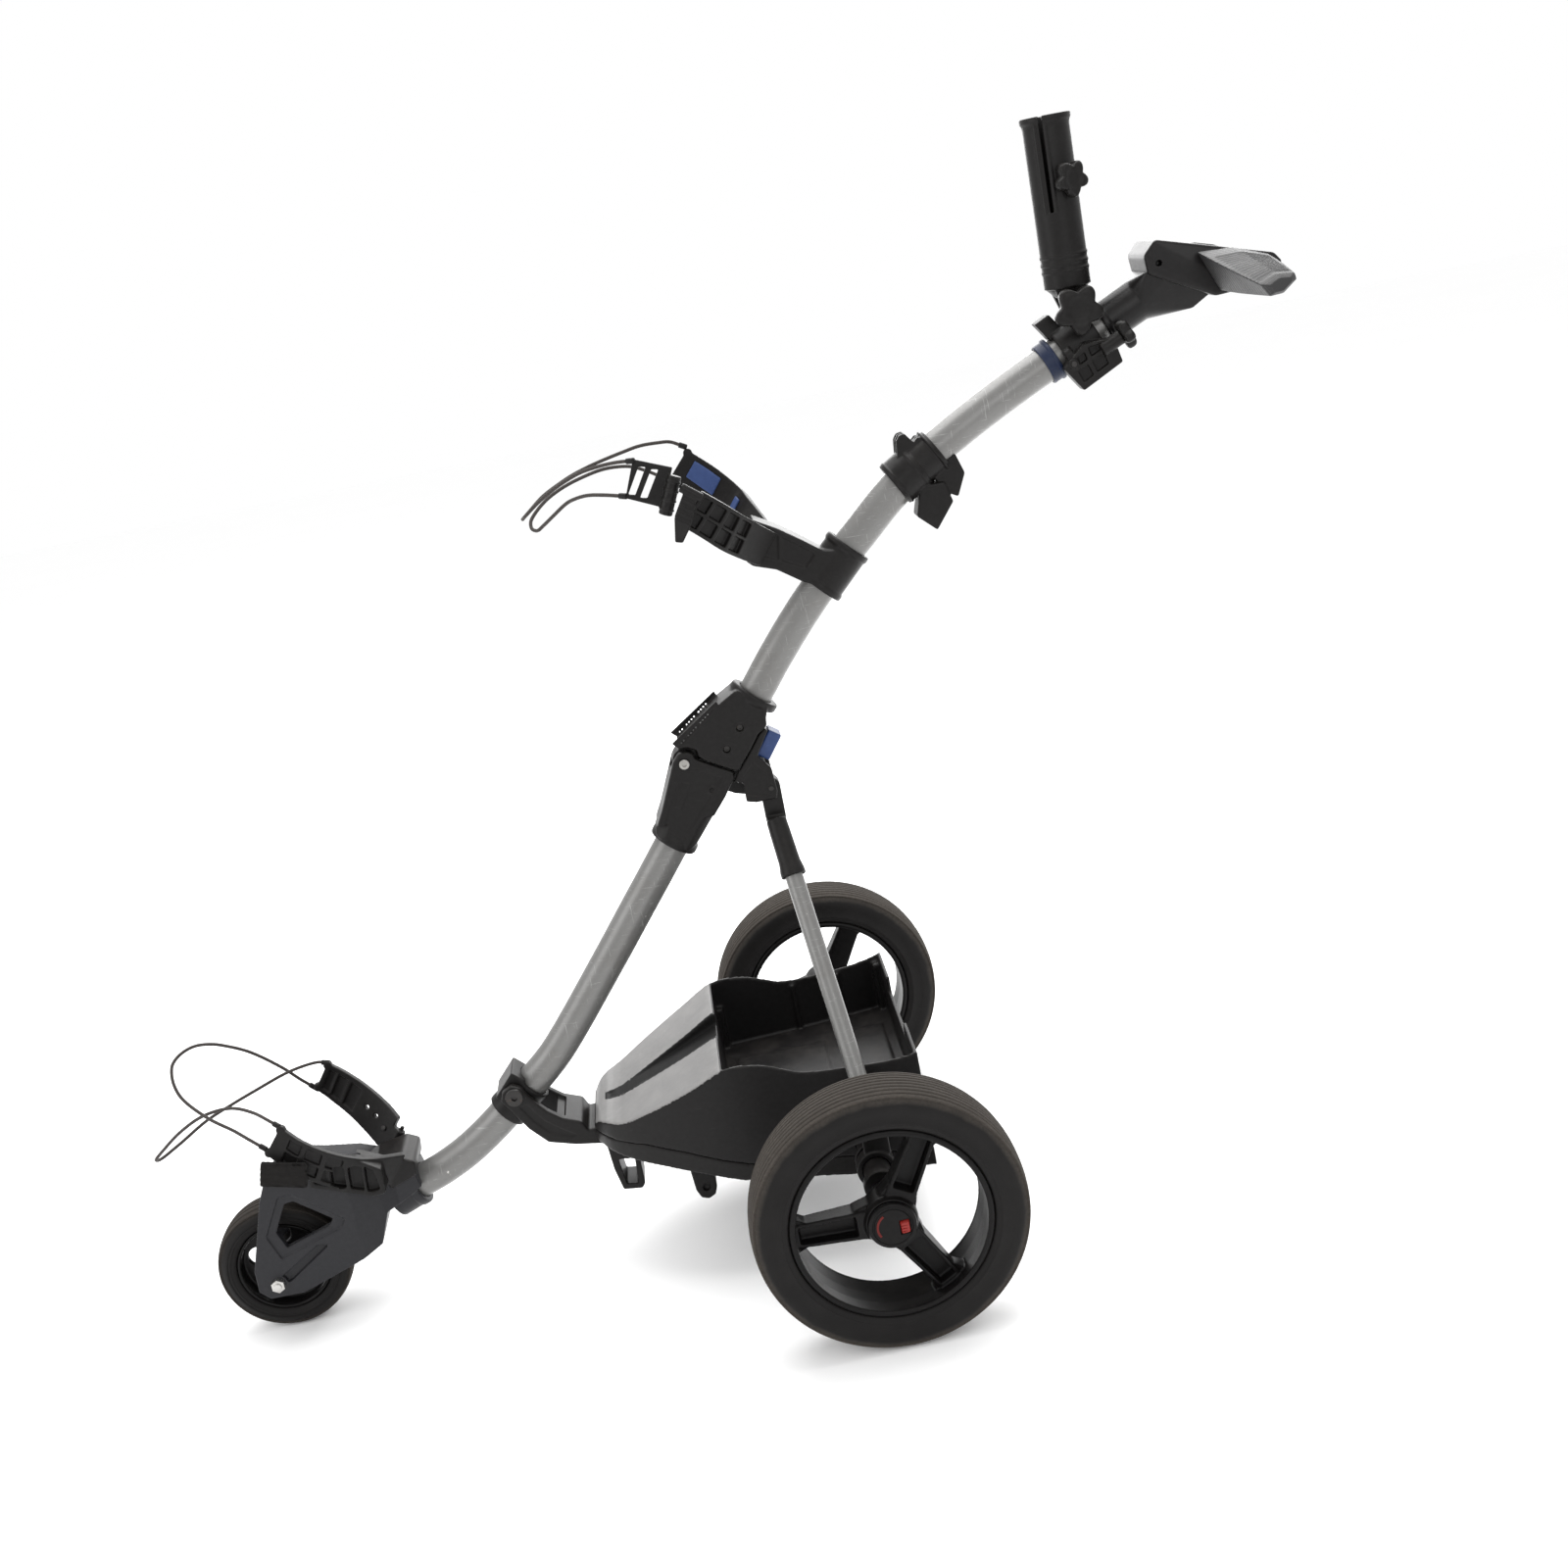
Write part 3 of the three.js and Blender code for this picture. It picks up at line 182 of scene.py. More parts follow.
def plastic(name, col, rough=0.5, dust=0.25, grain=2600.0, grain_k=0.12, dustcol=(0.16, 0.14, 0.12), scuff=0.5, spec=0.5):
    k = Nodes(name)
    big = k.noise(14, 5, 0.6)
    fine = k.noise(220, 4, 0.6)
    base = k.mix(big, tuple(c * 0.78 for c in col), tuple(min(1, c * 1.25) for c in col))
    base = k.mix(k.ramp(fine, 0.35, 0.75), base, tuple(min(1, c * 1.12 + 0.002) for c in col))
    # dust that lies on the faces looking up, in patches
    patch = k.ramp(k.noise(38, 6, 0.7, dist=0.4), 0.42, 0.72)
    d = k.math("MULTIPLY", k.math("MULTIPLY", k.up(), patch), dust)
    base = k.mix(d, base, dustcol)
    # fine light scuffs
    sc = k.noise(60, 3, 0.7, co=k.mapping((1, 1, 14), (0.5, 0.9, 0.3)), dist=0.3)
    sm = k.ramp(sc, 0.66, 0.70)
    sm2 = k.math("MULTIPLY", sm, scuff * 0.5)
    base = k.mix(sm2, base, tuple(min(1, c * 2.0 + 0.02) for c in col))
    k.link(base, k.b.inputs["Base Color"])
    r = k.math("ADD", k.math("MULTIPLY", big, 0.16), rough - 0.08)
    r = k.math("ADD", r, k.math("MULTIPLY", d, 0.35), True)
    k.link(r, k.b.inputs["Roughness"])
    k.b.inputs["Specular IOR Level"].default_value = spec
    h = k.noise(grain, 2, 0.5)
    nrm = k.bump(h, grain_k, 0.0004)
    nrm = k.bump(k.noise(90, 2, 0.5), 0.08, 0.001, nrm)
    k.link(nrm, k.b.inputs["Normal"])
    return k.m


def paint():
    k = Nodes("tube_paint")
    flake = k.vor(2300, out="Color")
    big = k.noise(9, 5, 0.6)
    base = k.mix(big, (0.118, 0.117, 0.113), (0.160, 0.158, 0.153))
    base = k.mix(k.math("MULTIPLY", k.ramp(flake, 0.2, 0.9), 0.16), base, (0.25, 0.248, 0.24))
    # hairline scratches along and across
    s1 = k.ramp(k.noise(55, 2, 0.5, co=k.mapping((1, 1, 22), (0, 0.7, 0.2))), 0.675, 0.69)
    s2 = k.ramp(k.noise(46, 2, 0.5, co=k.mapping((20, 1, 1), (0.4, 0.3, 0))), 0.69, 0.70)
    s = k.math("MULTIPLY", k.math("MAXIMUM", s1, s2), 0.35)
    base = k.mix(s, base, (0.42, 0.42, 0.41))
    # chips down to the pale metal
    chip = k.math("MULTIPLY", k.ramp(k.noise(75, 5, 0.62, dist=0.3), 0.705, 0.715), k.ramp(k.noise(6, 2, 0.5), 0.50, 0.60))
    base = k.mix(chip, base, (0.62, 0.60, 0.57))
    dirt = k.math("MULTIPLY", k.ramp(k.noise(30, 6, 0.7), 0.5, 0.8), 0.35)
    base = k.mix(dirt, base, (0.10, 0.09, 0.08))
    k.link(base, k.b.inputs["Base Color"])
    k.b.inputs["Metallic"].default_value = 0.35
    r = k.math("ADD", k.math("MULTIPLY", k.noise(120, 4, 0.6), 0.16), 0.30)
    r = k.math("ADD", r, k.math("MULTIPLY", s, 0.3), True)
    k.link(r, k.b.inputs["Roughness"])
    k.b.inputs["Coat Weight"].default_value = 0.35
    k.b.inputs["Coat Roughness"].default_value = 0.22
    h = k.math("SUBTRACT", k.noise(900, 2, 0.5), k.math("MULTIPLY", chip, 2.0))
    k.link(k.bump(h, 0.12, 0.0003), k.b.inputs["Normal"])
    return k.m


def metal(name, col, rough, streak=(1, 60, 1), rust=0.0):
    k = Nodes(name)
    st = k.noise(90, 3, 0.6, co=k.mapping(streak))
    base = k.mix(st, tuple(c * 0.72 for c in col), col)
    spots = k.ramp(k.noise(160, 5, 0.7), 0.58, 0.72)
    base = k.mix(k.math("MULTIPLY", spots, 0.5 + rust), base, (0.12, 0.075, 0.05))
    k.link(base, k.b.inputs["Base Color"])
    k.b.inputs["Metallic"].default_value = 1.0
    k.link(k.math("ADD", k.math("MULTIPLY", st, 0.25), rough - 0.1, True), k.b.inputs["Roughness"])
    k.link(k.bump(st, 0.15, 0.0003), k.b.inputs["Normal"])
    return k.m


def tyre(name, cx, cz, R, wear0, wear1, tread=(0.165, 0.14, 0.118), side=(0.012, 0.012, 0.013)):
    """Black sidewall, and a dusty worn tread beyond wear0 of the radius."""
    k = Nodes(name)
    sub = k.n("ShaderNodeVectorMath", operation="SUBTRACT")
    k.link(k.co, sub.inputs[0])
    c = W((cx, 0, cz))
    sub.inputs[1].default_value = c
    mul = k.n("ShaderNodeVectorMath", operation="MULTIPLY")
    k.link(sub.outputs[0], mul.inputs[0])
    mul.inputs[1].default_value = (1, 0, 1)
    ln = k.n("ShaderNodeVectorMath", operation="LENGTH")
    k.link(mul.outputs[0], ln.inputs[0])
    rad = ln.outputs["Value"]
    edge = k.math("ADD", rad, k.math("MULTIPLY", k.math("SUBTRACT", k.noise(46, 5, 0.65), 0.5), 0.006))
    mask = k.ramp(k.math("MULTIPLY", edge, 1000.0 / R), wear0, wear1)
    g = k.noise(420, 5, 0.7)
    gr = k.noise(36, 5, 0.6)
    tr = k.mix(gr, tuple(q * 0.62 for q in tread), tuple(q * 1.25 for q in tread))
    tr = k.mix(k.ramp(g, 0.3, 0.7), tr, tuple(q * 0.55 for q in tread))
    # crevices between the ribs are painted darker than the tread, as painted shade
    geo = k.n("ShaderNodeNewGeometry")
    painted_crevice_shade = k.ramp(geo.outputs["Pointiness"], 0.44, 0.505)
    tr = k.mix(painted_crevice_shade, (0.03, 0.027, 0.024), tr)
    sd = k.mix(gr, side, tuple(q * 2.4 for q in side))
    base = k.mix(mask, sd, tr)
    k.link(base, k.b.inputs["Base Color"])
    k.link(k.math("ADD", k.math("MULTIPLY", mask, 0.32), 0.52), k.b.inputs["Roughness"])
    k.b.inputs["Specular IOR Level"].default_value = 0.13
    n1 = k.bump(k.noise(700, 4, 0.6), 0.22, 0.0005)
    k.link(k.bump(k.noise(110, 4, 0.6), 0.12, 0.001, n1), k.b.inputs["Normal"])
    return k.m


def braid():
    k = Nodes("cord")
    v = k.vor(950)
    w = k.n("ShaderNodeTexWave", wave_type="BANDS", bands_direction="DIAGONAL")
    w.inputs["Scale"].default_value = 260
    w.inputs["Distortion"].default_value = 1.5
    k.link(k.co, w.inputs["Vector"])
    pat = k.math("ADD", k.math("MULTIPLY", v, 0.7), k.math("MULTIPLY", w.outputs["Fac"], 0.4))
    base = k.mix(pat, (0.012, 0.010, 0.010), (0.06, 0.052, 0.047))
    base = k.mix(k.ramp(k.noise(1400, 3, 0.7), 0.62, 0.75), base, (0.13, 0.11, 0.095))
    k.link(base, k.b.inputs["Base Color"])
    k.b.inputs["Roughness"].default_value = 0.78
    k.b.inputs["Sheen Weight"].default_value = 0.12
    k.b.inputs["Specular IOR Level"].default_value = 0.2
    k.b.inputs["Sheen Roughness"].default_value = 0.5
    k.link(k.bump(pat, 0.7, 0.0006), k.b.inputs["Normal"])
    return k.m


def fuzzy():
    k = Nodes("strap_fabric")
    n = k.noise(1500, 4, 0.75)
    base = k.mix(n, (0.003, 0.003, 0.003), (0.020, 0.018, 0.017))
    base = k.mix(k.ramp(k.noise(240, 5, 0.7), 0.66, 0.74), base, (0.055, 0.048, 0.042))
    k.link(base, k.b.inputs["Base Color"])
    k.b.inputs["Roughness"].default_value = 0.9
    k.b.inputs["Sheen Weight"].default_value = 0.03
    k.b.inputs["Specular IOR Level"].default_value = 0.08
    k.b.inputs["Sheen Roughness"].default_value = 0.6
    k.link(k.bump(n, 0.9, 0.0015), k.b.inputs["Normal"])
    return k.m


def grip():
    k = Nodes("grip_rubber")
    w = k.n("ShaderNodeTexWave", wave_type="BANDS", bands_direction="Y")
    w.inputs["Scale"].default_value = 42
    w.inputs["Distortion"].default_value = 0.0
    k.link(k.co, w.inputs["Vector"])
    big = k.noise(20, 4, 0.6)
    base = k.mix(big, (0.006, 0.006, 0.0065), (0.016, 0.0155, 0.016))
    base = k.mix(k.math("MULTIPLY", k.math("MULTIPLY", k.up(), k.ramp(k.noise(70, 5, 0.7), 0.4, 0.75)), 0.22), base, (0.10, 0.09, 0.085))
    k.link(base, k.b.inputs["Base Color"])
    k.link(k.math("ADD", k.math("MULTIPLY", big, 0.2), 0.42), k.b.inputs["Roughness"])
    nr = k.bump(k.ramp(w.outputs["Fac"], 0.25, 0.6), 0.35, 0.0012)
    k.link(k.bump(k.noise(1800, 2, 0.5), 0.15, 0.0004, nr), k.b.inputs["Normal"])
    return k.m


M = {
    "tube_paint": paint(),
    "black_plastic": plastic("black_plastic", (0.0066, 0.0060, 0.0058), 0.38, 0.12, dustcol=(0.09, 0.08, 0.07), spec=0.16),
    "fork_plastic": plastic("fork_plastic", (0.0120, 0.0120, 0.0142), 0.38, 0.16, dustcol=(0.10, 0.09, 0.085), scuff=0.6, spec=0.22),
    "tray_plastic": plastic("tray_plastic", (0.0066, 0.0060, 0.0060), 0.42, 0.16, dustcol=(0.09, 0.08, 0.07), scuff=0.6, spec=0.16),
    # light grey nose pads: this colour is a painted highlight standing for glare on their upper faces
    "nose_pad_painted_highlight": plastic("nose_pad_painted_highlight", (0.150, 0.147, 0.145), 0.36, 0.35, dustcol=(0.33, 0.32, 0.31), scuff=0.5),
    # darker than the tray: painted shade for the groove between the nose pads
    "groove_painted_shade": plastic("groove_painted_shade", (0.0040, 0.0038, 0.0038), 0.55, 0.05, dustcol=(0.03, 0.03, 0.03), spec=0.10),
    "handle_plastic": plastic("handle_plastic", (0.0066, 0.0060, 0.0060), 0.30, 0.08, dustcol=(0.09, 0.08, 0.07), spec=0.20),
    "rim_plastic": plastic("rim_plastic", (0.0034, 0.0030, 0.0030), 0.34, 0.05, dustcol=(0.07, 0.06, 0.05), spec=0.13),
    "blue_plastic": plastic("blue_plastic", (0.022, 0.045, 0.135), 0.42, 0.10, spec=0.3),
    "navy_plastic": plastic("navy_plastic", (0.005, 0.011, 0.034), 0.40, 0.10, dustcol=(0.06, 0.06, 0.07), spec=0.26),
    "red_plastic": plastic("red_plastic", (0.20, 0.010, 0.007), 0.36, 0.05, spec=0.3),
    "red_dark": plastic("red_dark", (0.10, 0.007, 0.005), 0.45, 0.05, dustcol=(0.07, 0.05, 0.045), spec=0.2),
    "steel": metal("steel", (0.56, 0.55, 0.53), 0.34),
    "dark_steel": metal("dark_steel", (0.050, 0.048, 0.047), 0.42),
    "axle_steel": metal("axle_steel", (0.38, 0.37, 0.35), 0.38, rust=0.25),
    "drive_metal": metal("drive_metal", (0.20, 0.20, 0.20), 0.5, streak=(1, 4, 1)),
    "cord": braid(),
    "strap": fuzzy(),
    "grip_rubber": grip(),
    "tyre_rear": tyre("tyre_rear", 0, 132.5, WHEEL_R, 0.925, 0.965, tread=(0.062, 0.054, 0.047), side=(0.0048, 0.0044, 0.0043)),
    "tyre_front": tyre("tyre_front", FRONT[0], FRONT[1], 71.5, 0.90, 0.965, tread=(0.045, 0.039, 0.034), side=(0.0048, 0.0044, 0.0043)),
}

# ------------------------------------------------------------------ cords, first
CORDS = {
    "lower_cord_a": [[-557,71.6,254.6],[-565,71,257],[-593,62,257],[-632,50,248],[-658,42,241],[-686,34,232],[-716,24,217],[-737,12,209],[-738,2,214],[-723,-6,228],[-700,-14,246],[-669,-24,263],[-634,-38,271],[-610,-50,266],[-595,-60,259],[-587,-64.6,254.2]],
    "lower_cord_b": [[-577.2,71.6,230.4],[-587,68,243],[-600,64,261],[-626,52,292],[-645,44,307],[-658,36,316],[-673,27,321],[-686,18,319],[-694,8,313],[-695,-2,303],[-692,-10,292],[-685,-18,282],[-660,-36,264],[-634,-52,252],[-618,-61,242],[-606.5,-64.8,233]],
    "upper_cord_c": [[-43.2,85.6,828.4],[-55,84,835],[-68,80,837],[-86,74,838],[-103,68,836],[-135,54,831],[-156,45,826],[-173,36,820],[-189,26,813],[-201,16,805],[-211,5,798],[-207,-8,802],[-191,-20,814],[-175,-32,824],[-159,-44,832],[-143,-54,838],[-120,-68,842],[-106,-78,843],[-95.8,-83.6,842.6]],
    "upper_cord_d": [[-68.2,85.4,800.4],[-82,82,810],[-98,76,819],[-114,66,823],[-129,56,824],[-146,46,822],[-161,37,819],[-174,28,815],[-187,19,809],[-199,10,800],[-204,4,794],[-204,-2,788],[-199,-8,786],[-191,-16,791],[-180,-26,799],[-164,-38,810],[-154,-48,814],[-142,-58,816],[-126,-72,815],[-109,-83.4,812.2]],
}


def catmull(pts, per=8):
    """Centripetal Catmull-Rom through pts, with per points on each stretch."""
    P = [Vector(p) for p in pts]
    P = [2 * P[0] - P[1]] + P + [2 * P[-1] - P[-2]]
    out = []
    for i in range(1, len(P) - 2):
        p0, p1, p2, p3 = P[i - 1], P[i], P[i + 1], P[i + 2]
        t0 = 0
        t1 = t0 + max(1e-6, (p1 - p0).length) ** 0.5
        t2 = t1 + max(1e-6, (p2 - p1).length) ** 0.5
        t3 = t2 + max(1e-6, (p3 - p2).length) ** 0.5
        for j in range(per):
            t = t1 + (t2 - t1) * j / per
            a1 = (t1 - t) / (t1 - t0) * p0 + (t - t0) / (t1 - t0) * p1
            a2 = (t2 - t) / (t2 - t1) * p1 + (t - t1) / (t2 - t1) * p2
            a3 = (t3 - t) / (t3 - t2) * p2 + (t - t2) / (t3 - t2) * p3
            b1 = (t2 - t) / (t2 - t0) * a1 + (t - t0) / (t2 - t0) * a2
            b2 = (t3 - t) / (t3 - t1) * a2 + (t - t1) / (t3 - t1) * a3
            out.append((t2 - t) / (t2 - t1) * b1 + (t - t1) / (t2 - t1) * b2)
    out.append(P[-2])
    return out


for name, pts in CORDS.items():
    line = [W(p) for p in catmull(pts, 6)]
    cu = bpy.data.curves.new("v_" + name, "CURVE")
    cu.dimensions = "3D"
    sp = cu.splines.new("POLY")
    sp.points.add(len(line) - 1)
    for q, p in zip(sp.points, line):
        q.co = (*p, 1)
    cu.bevel_depth = 0.00175
    cu.bevel_resolution = 5
    cu.use_fill_caps = True
    ob = bpy.data.objects.new("v_" + name, cu)
    bpy.context.scene.collection.objects.link(ob)
    cu.materials.append(M["cord"])
    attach(ob, BODY[name])
    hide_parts(name)


# ------------------------------------------------------------------ mesh helpers
def obj(verts, faces, name="t"):
    me = bpy.data.meshes.new(name)
    me.from_pydata([W(v) for v in verts], [], faces)
    bm = bmesh.new()
    bm.from_mesh(me)
    bmesh.ops.remove_doubles(bm, verts=bm.verts, dist=1e-6)
    bmesh.ops.recalc_face_normals(bm, faces=bm.faces)
    bm.to_mesh(me)
    bm.free()
    ob = bpy.data.objects.new(name, me)
    bpy.context.scene.collection.objects.link(ob)
    return ob


def basis(d):
    Z = Vector(d).normalized()
    ref = Vector((1, 0, 0)) if abs(Z.y) > 0.9 else Vector((0, 1, 0))
    X = ref.cross(Z).normalized()
    return X, Z.cross(X), Z


def along(p, d, s):
    return (p[0] + d[0] * s, p[1] + d[1] * s, p[2] + d[2] * s)


def unit(v):
    return tuple(Vector(v).normalized())


def lathe(profile, o, d, seg=72, closed=False):
    """profile of (r, h). An open one runs from axis to axis."""
    X, Y, Z = basis(d)
    O = Vector(o)
    verts, faces, rings = [], [], []
    prof = list(profile)
    for r, h in prof:
        if r < 1e-6:
            rings.append([len(verts)])
            verts.append(O + Z * h)
        else:
            rings.append(list(range(len(verts), len(verts) + seg)))
            for i in range(seg):
                a = 2 * math.pi * i / seg
                verts.append(O + Z * h + X * (r * math.cos(a)) + Y * (r * math.sin(a)))
    pairs = list(zip(rings, rings[1:])) + ([(rings[-1], rings[0])] if closed else [])
    for a, b in pairs:
        for i in range(seg):
            j = (i + 1) % seg
            if len(a) == 1 and len(b) == 1:
                continue
            if len(a) == 1:
                faces.append((a[0], b[i], b[j]))
            elif len(b) == 1:
                faces.append((a[i], b[0], a[j]))
            else:
                faces.append((a[i], b[i], b[j], a[j]))
    return obj(verts, faces)


def cyl(a, b, r, seg=48, r2=None, e=0.0):
    """Cylinder from a to b, with edges rounded by e."""
    d = Vector(b) - Vector(a)
    h = d.length
    r2 = r if r2 is None else r2
    if e:
        n = 3
        lo = [(r - e + e * math.sin(math.pi / 2 * i / n), e - e * math.cos(math.pi / 2 * i / n)) for i in range(n + 1)]
        hi = [(r2 - e + e * math.cos(math.pi / 2 * i / n), h - e + e * math.sin(math.pi / 2 * i / n)) for i in range(n + 1)]
        return lathe([(0, 0)] + lo + hi + [(0, h)], a, d, seg)
    return lathe([(0, 0), (r, 0), (r2, h), (0, h)], a, d, seg)


def ring(profile, o, d, seg=96):
    return lathe(profile, o, d, seg, closed=True)


def bevelled(ob, w, seg=3, limit=0.35):
    bm = bmesh.new()
    bm.from_mesh(ob.data)
    ed = [e for e in bm.edges if len(e.link_faces) == 2 and e.calc_face_angle(0) > limit]
    if ed and w > 0:
        bmesh.ops.bevel(bm, geom=ed, offset=w / 1000, segments=seg, profile=0.5, affect="EDGES", clamp_overlap=True)
    bm.to_mesh(ob.data)
    bm.free()
    return ob


def prism(pts, lo, hi, b=0.0):
    n = len(pts)
    faces = [tuple(range(n)), tuple(range(2 * n - 1, n - 1, -1))]
    faces += [(i, (i + 1) % n, n + (i + 1) % n, n + i) for i in range(n)]
    o = obj([lo(p) for p in pts] + [hi(p) for p in pts], faces)
    return bevelled(o, b) if b else o


def ext(pts, y0, y1, b=0.0):
    return prism(pts, lambda p: (p[0], y0, p[1]), lambda p: (p[0], y1, p[1]), b)


def extz(pts, z0, z1, b=0.0):
    return prism(pts, lambda p: (p[0], p[1], z0), lambda p: (p[0], p[1], z1), b)


def extl(pts, o, P, Q, w0, w1, b=0.0):
    Wd = Vector(P).cross(Vector(Q))
    f = lambda w: (lambda p: Vector(o) + Vector(P) * p[0] + Vector(Q) * p[1] + Wd * w)
    return prism(pts, f(w0), f(w1), b)


def box(x0, y0, z0, x1, y1, z1, b=0.0):
    return ext([(x0, z0), (x1, z0), (x1, z1), (x0, z1)], y0, y1, b)


def hull(pts, b=0.0):
    me = bpy.data.meshes.new("h")
    bm = bmesh.new()
    for p in pts:
        bm.verts.new(W(p))
    r = bmesh.ops.convex_hull(bm, input=bm.verts)
    junk = [g for g in r["geom_interior"] + r["geom_unused"] if isinstance(g, bmesh.types.BMVert)]
    if junk:
        bmesh.ops.delete(bm, geom=list(set(junk)), context="VERTS")
    bmesh.ops.dissolve_limit(bm, angle_limit=0.03, verts=bm.verts, edges=bm.edges)
    bmesh.ops.recalc_face_normals(bm, faces=bm.faces)
    bm.to_mesh(me)
    bm.free()
    o = bpy.data.objects.new("h", me)
    bpy.context.scene.collection.objects.link(o)
    return bevelled(o, b) if b else o


def sweep(line, section, caps=True):
    """section(i) gives points (u, v) at station i of line; u is horizontal, v in the vertical plane."""
    L = [Vector(p) for p in line]
    verts, faces, m = [], [], None
    for i, p in enumerate(L):
        t = (L[min(i + 1, len(L) - 1)] - L[max(i - 1, 0)]).normalized()
        side = Vector((0, 1, 0)) if abs(t.y) < 0.9 else Vector((1, 0, 0))
        u = (side - t * side.dot(t)).normalized()
        v = t.cross(u)
        s = section(i)
        m = len(s)
        verts += [p + u * q[0] + v * q[1] for q in s]
    for i in range(len(L) - 1):
        for j in range(m):
            k = (j + 1) % m
            faces.append((i * m + j, i * m + k, (i + 1) * m + k, (i + 1) * m + j))
    if caps:
        faces += [tuple(range(m)), tuple(range((len(L) - 1) * m, len(L) * m))]
    return obj(verts, faces)


def tube(line, r, rin=0, seg=48, per=6):
    L = catmull(line, per)
    circ = lambda R: [(R * math.cos(2 * math.pi * j / seg), R * math.sin(2 * math.pi * j / seg)) for j in range(seg)]
    o = sweep(L, lambda i: circ(r))
    if rin:
        a, b = Vector(L[0]), Vector(L[-1])
        da, db = (Vector(L[1]) - a).normalized(), (b - Vector(L[-2])).normalized()
        inner = sweep([a - da] + L + [b + db], lambda i: circ(rin))
        o = csg("DIFFERENCE", o, inner)
    return o


def deps_mesh(ob):
    bpy.context.view_layer.update()
    dg = bpy.context.evaluated_depsgraph_get()
    return bpy.data.meshes.new_from_object(ob.evaluated_get(dg))


def drop(*obs):
    for o in obs:
        me = o.data
        bpy.data.objects.remove(o)
        if me.users == 0:
            bpy.data.meshes.remove(me)


def csg(op, a, *bs):
    bs = [b for b in bs if b is not None]
    for solver in ("MANIFOLD", "EXACT"):
        for b in bs:
            m = a.modifiers.new("b", "BOOLEAN")
            m.operation = op
            m.object = b
            m.solver = solver
        me = deps_mesh(a)
        a.modifiers.clear()
        if len(me.polygons) and (len(me.polygons) != len(a.data.polygons) or len(me.vertices) != len(a.data.vertices)):
            break
    old = a.data
    a.data = me
    bpy.data.meshes.remove(old)
    drop(*bs)
    return a


def union(a, *bs):
    return csg("UNION", a, *bs) if bs else a


def cut(a, *bs):
    return csg("DIFFERENCE", a, *bs)


def clip(a, b):
    return csg("INTERSECT", a, b)


def biggest(ob, keep=1):
    """Drops loose crumbs, keeping the largest shells."""
    bm = bmesh.new()
    bm.from_mesh(ob.data)
    left, shells = set(bm.verts), []
    while left:
        v = next(iter(left))
        stack, comp = [v], {v}
        while stack:
            q = stack.pop()
            for e in q.link_edges:
                w = e.other_vert(q)
                if w not in comp:
                    comp.add(w)
                    stack.append(w)
        shells.append(comp)
        left -= comp
    shells.sort(key=len, reverse=True)
    junk = [v for c in shells[keep:] for v in c]
    if junk:
        bmesh.ops.delete(bm, geom=junk, context="VERTS")
    bm.to_mesh(ob.data)
    bm.free()
    return ob


def mould(ob, vox=1.0, smooth=4, ratio=0.35):
    """Turns crisp unions into a moulding with soft, rounded edges."""
    m = ob.modifiers.new("r", "REMESH")
    m.mode = "VOXEL"
    m.voxel_size = vox / 1000
    m.adaptivity = 0
    s = ob.modifiers.new("s", "SMOOTH")
    s.factor = 0.5
    s.iterations = smooth
    if ratio < 1:
        d = ob.modifiers.new("d", "DECIMATE")
        d.decimate_type = "COLLAPSE"
        d.ratio = ratio
    me = deps_mesh(ob)
    ob.modifiers.clear()
    old = ob.data
    ob.data = me
    bpy.data.meshes.remove(old)
    return biggest(ob)


def finish(ob, node, mat=None, smooth=True, angle=None, also=(), name=None, replace=True):
    me = ob.data
    ob.name = me.name = name or ("v_" + node)
    me.materials.clear()
    me.materials.append(M[mat or SLOT[node]])
    for p in me.polygons:
        p.use_smooth = smooth
        p.material_index = 0
    if angle is not None and smooth:
        bm = bmesh.new()
        bm.from_mesh(me)
        for e in bm.edges:
            e.smooth = not (len(e.link_faces) == 2 and e.calc_face_angle(0) > angle)
        bm.to_mesh(me)
        bm.free()
    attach(ob, BODY[node])
    if replace:
        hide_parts(node, *also)
    return ob


def extra(ob, node, name, mat, smooth=True, angle=0.6):
    """A detail piece that goes with a node and stands for no node of its own."""
    return finish(ob, node, mat, smooth, angle, name=name, replace=False)


def ribbon(st, t, per=5, b=0.0):
    """Smooth curved plate through stations of (top, bottom) points."""
    top = catmull([s[0] for s in st], per)
    bot = catmull([s[1] for s in st], per)
    n = len(top)
    verts = []
    for i in range(n):
        mid = lambda k: (top[k] + bot[k]) / 2
        d = (mid(min(n - 1, i + 1)) - mid(max(0, i - 1))).normalized()
        w = (top[i] - bot[i]).normalized()
        nn = d.cross(w).normalized()
        verts += [top[i] + nn * t / 2, top[i] - nn * t / 2, bot[i] - nn * t / 2, bot[i] + nn * t / 2]
    faces = [(0, 1, 2, 3), tuple(4 * (n - 1) + q for q in (3, 2, 1, 0))]
    for i in range(n - 1):
        for j in range(4):
            k = (j + 1) % 4
            faces.append((4 * i + j, 4 * i + k, 4 * i + 4 + k, 4 * i + 4 + j))
    return obj(verts, faces)


def ribbon_at(st, s, v):
    """Point on a ribbon's middle surface: s from 0 to 1 along, v from 0 at the bottom to 1 at the top, and its normal."""
    top, bot = catmull([q[0] for q in st], 8), catmull([q[1] for q in st], 8)
    i = min(len(top) - 2, max(0, int(s * (len(top) - 1))))
    f = s * (len(top) - 1) - i
    T, B = top[i].lerp(top[i + 1], f), bot[i].lerp(bot[i + 1], f)
    d = ((top[i + 1] + bot[i + 1]) - (top[i] + bot[i])).normalized()
    w = (T - B).normalized()
    return B.lerp(T, v), d.cross(w).normalized(), d, w


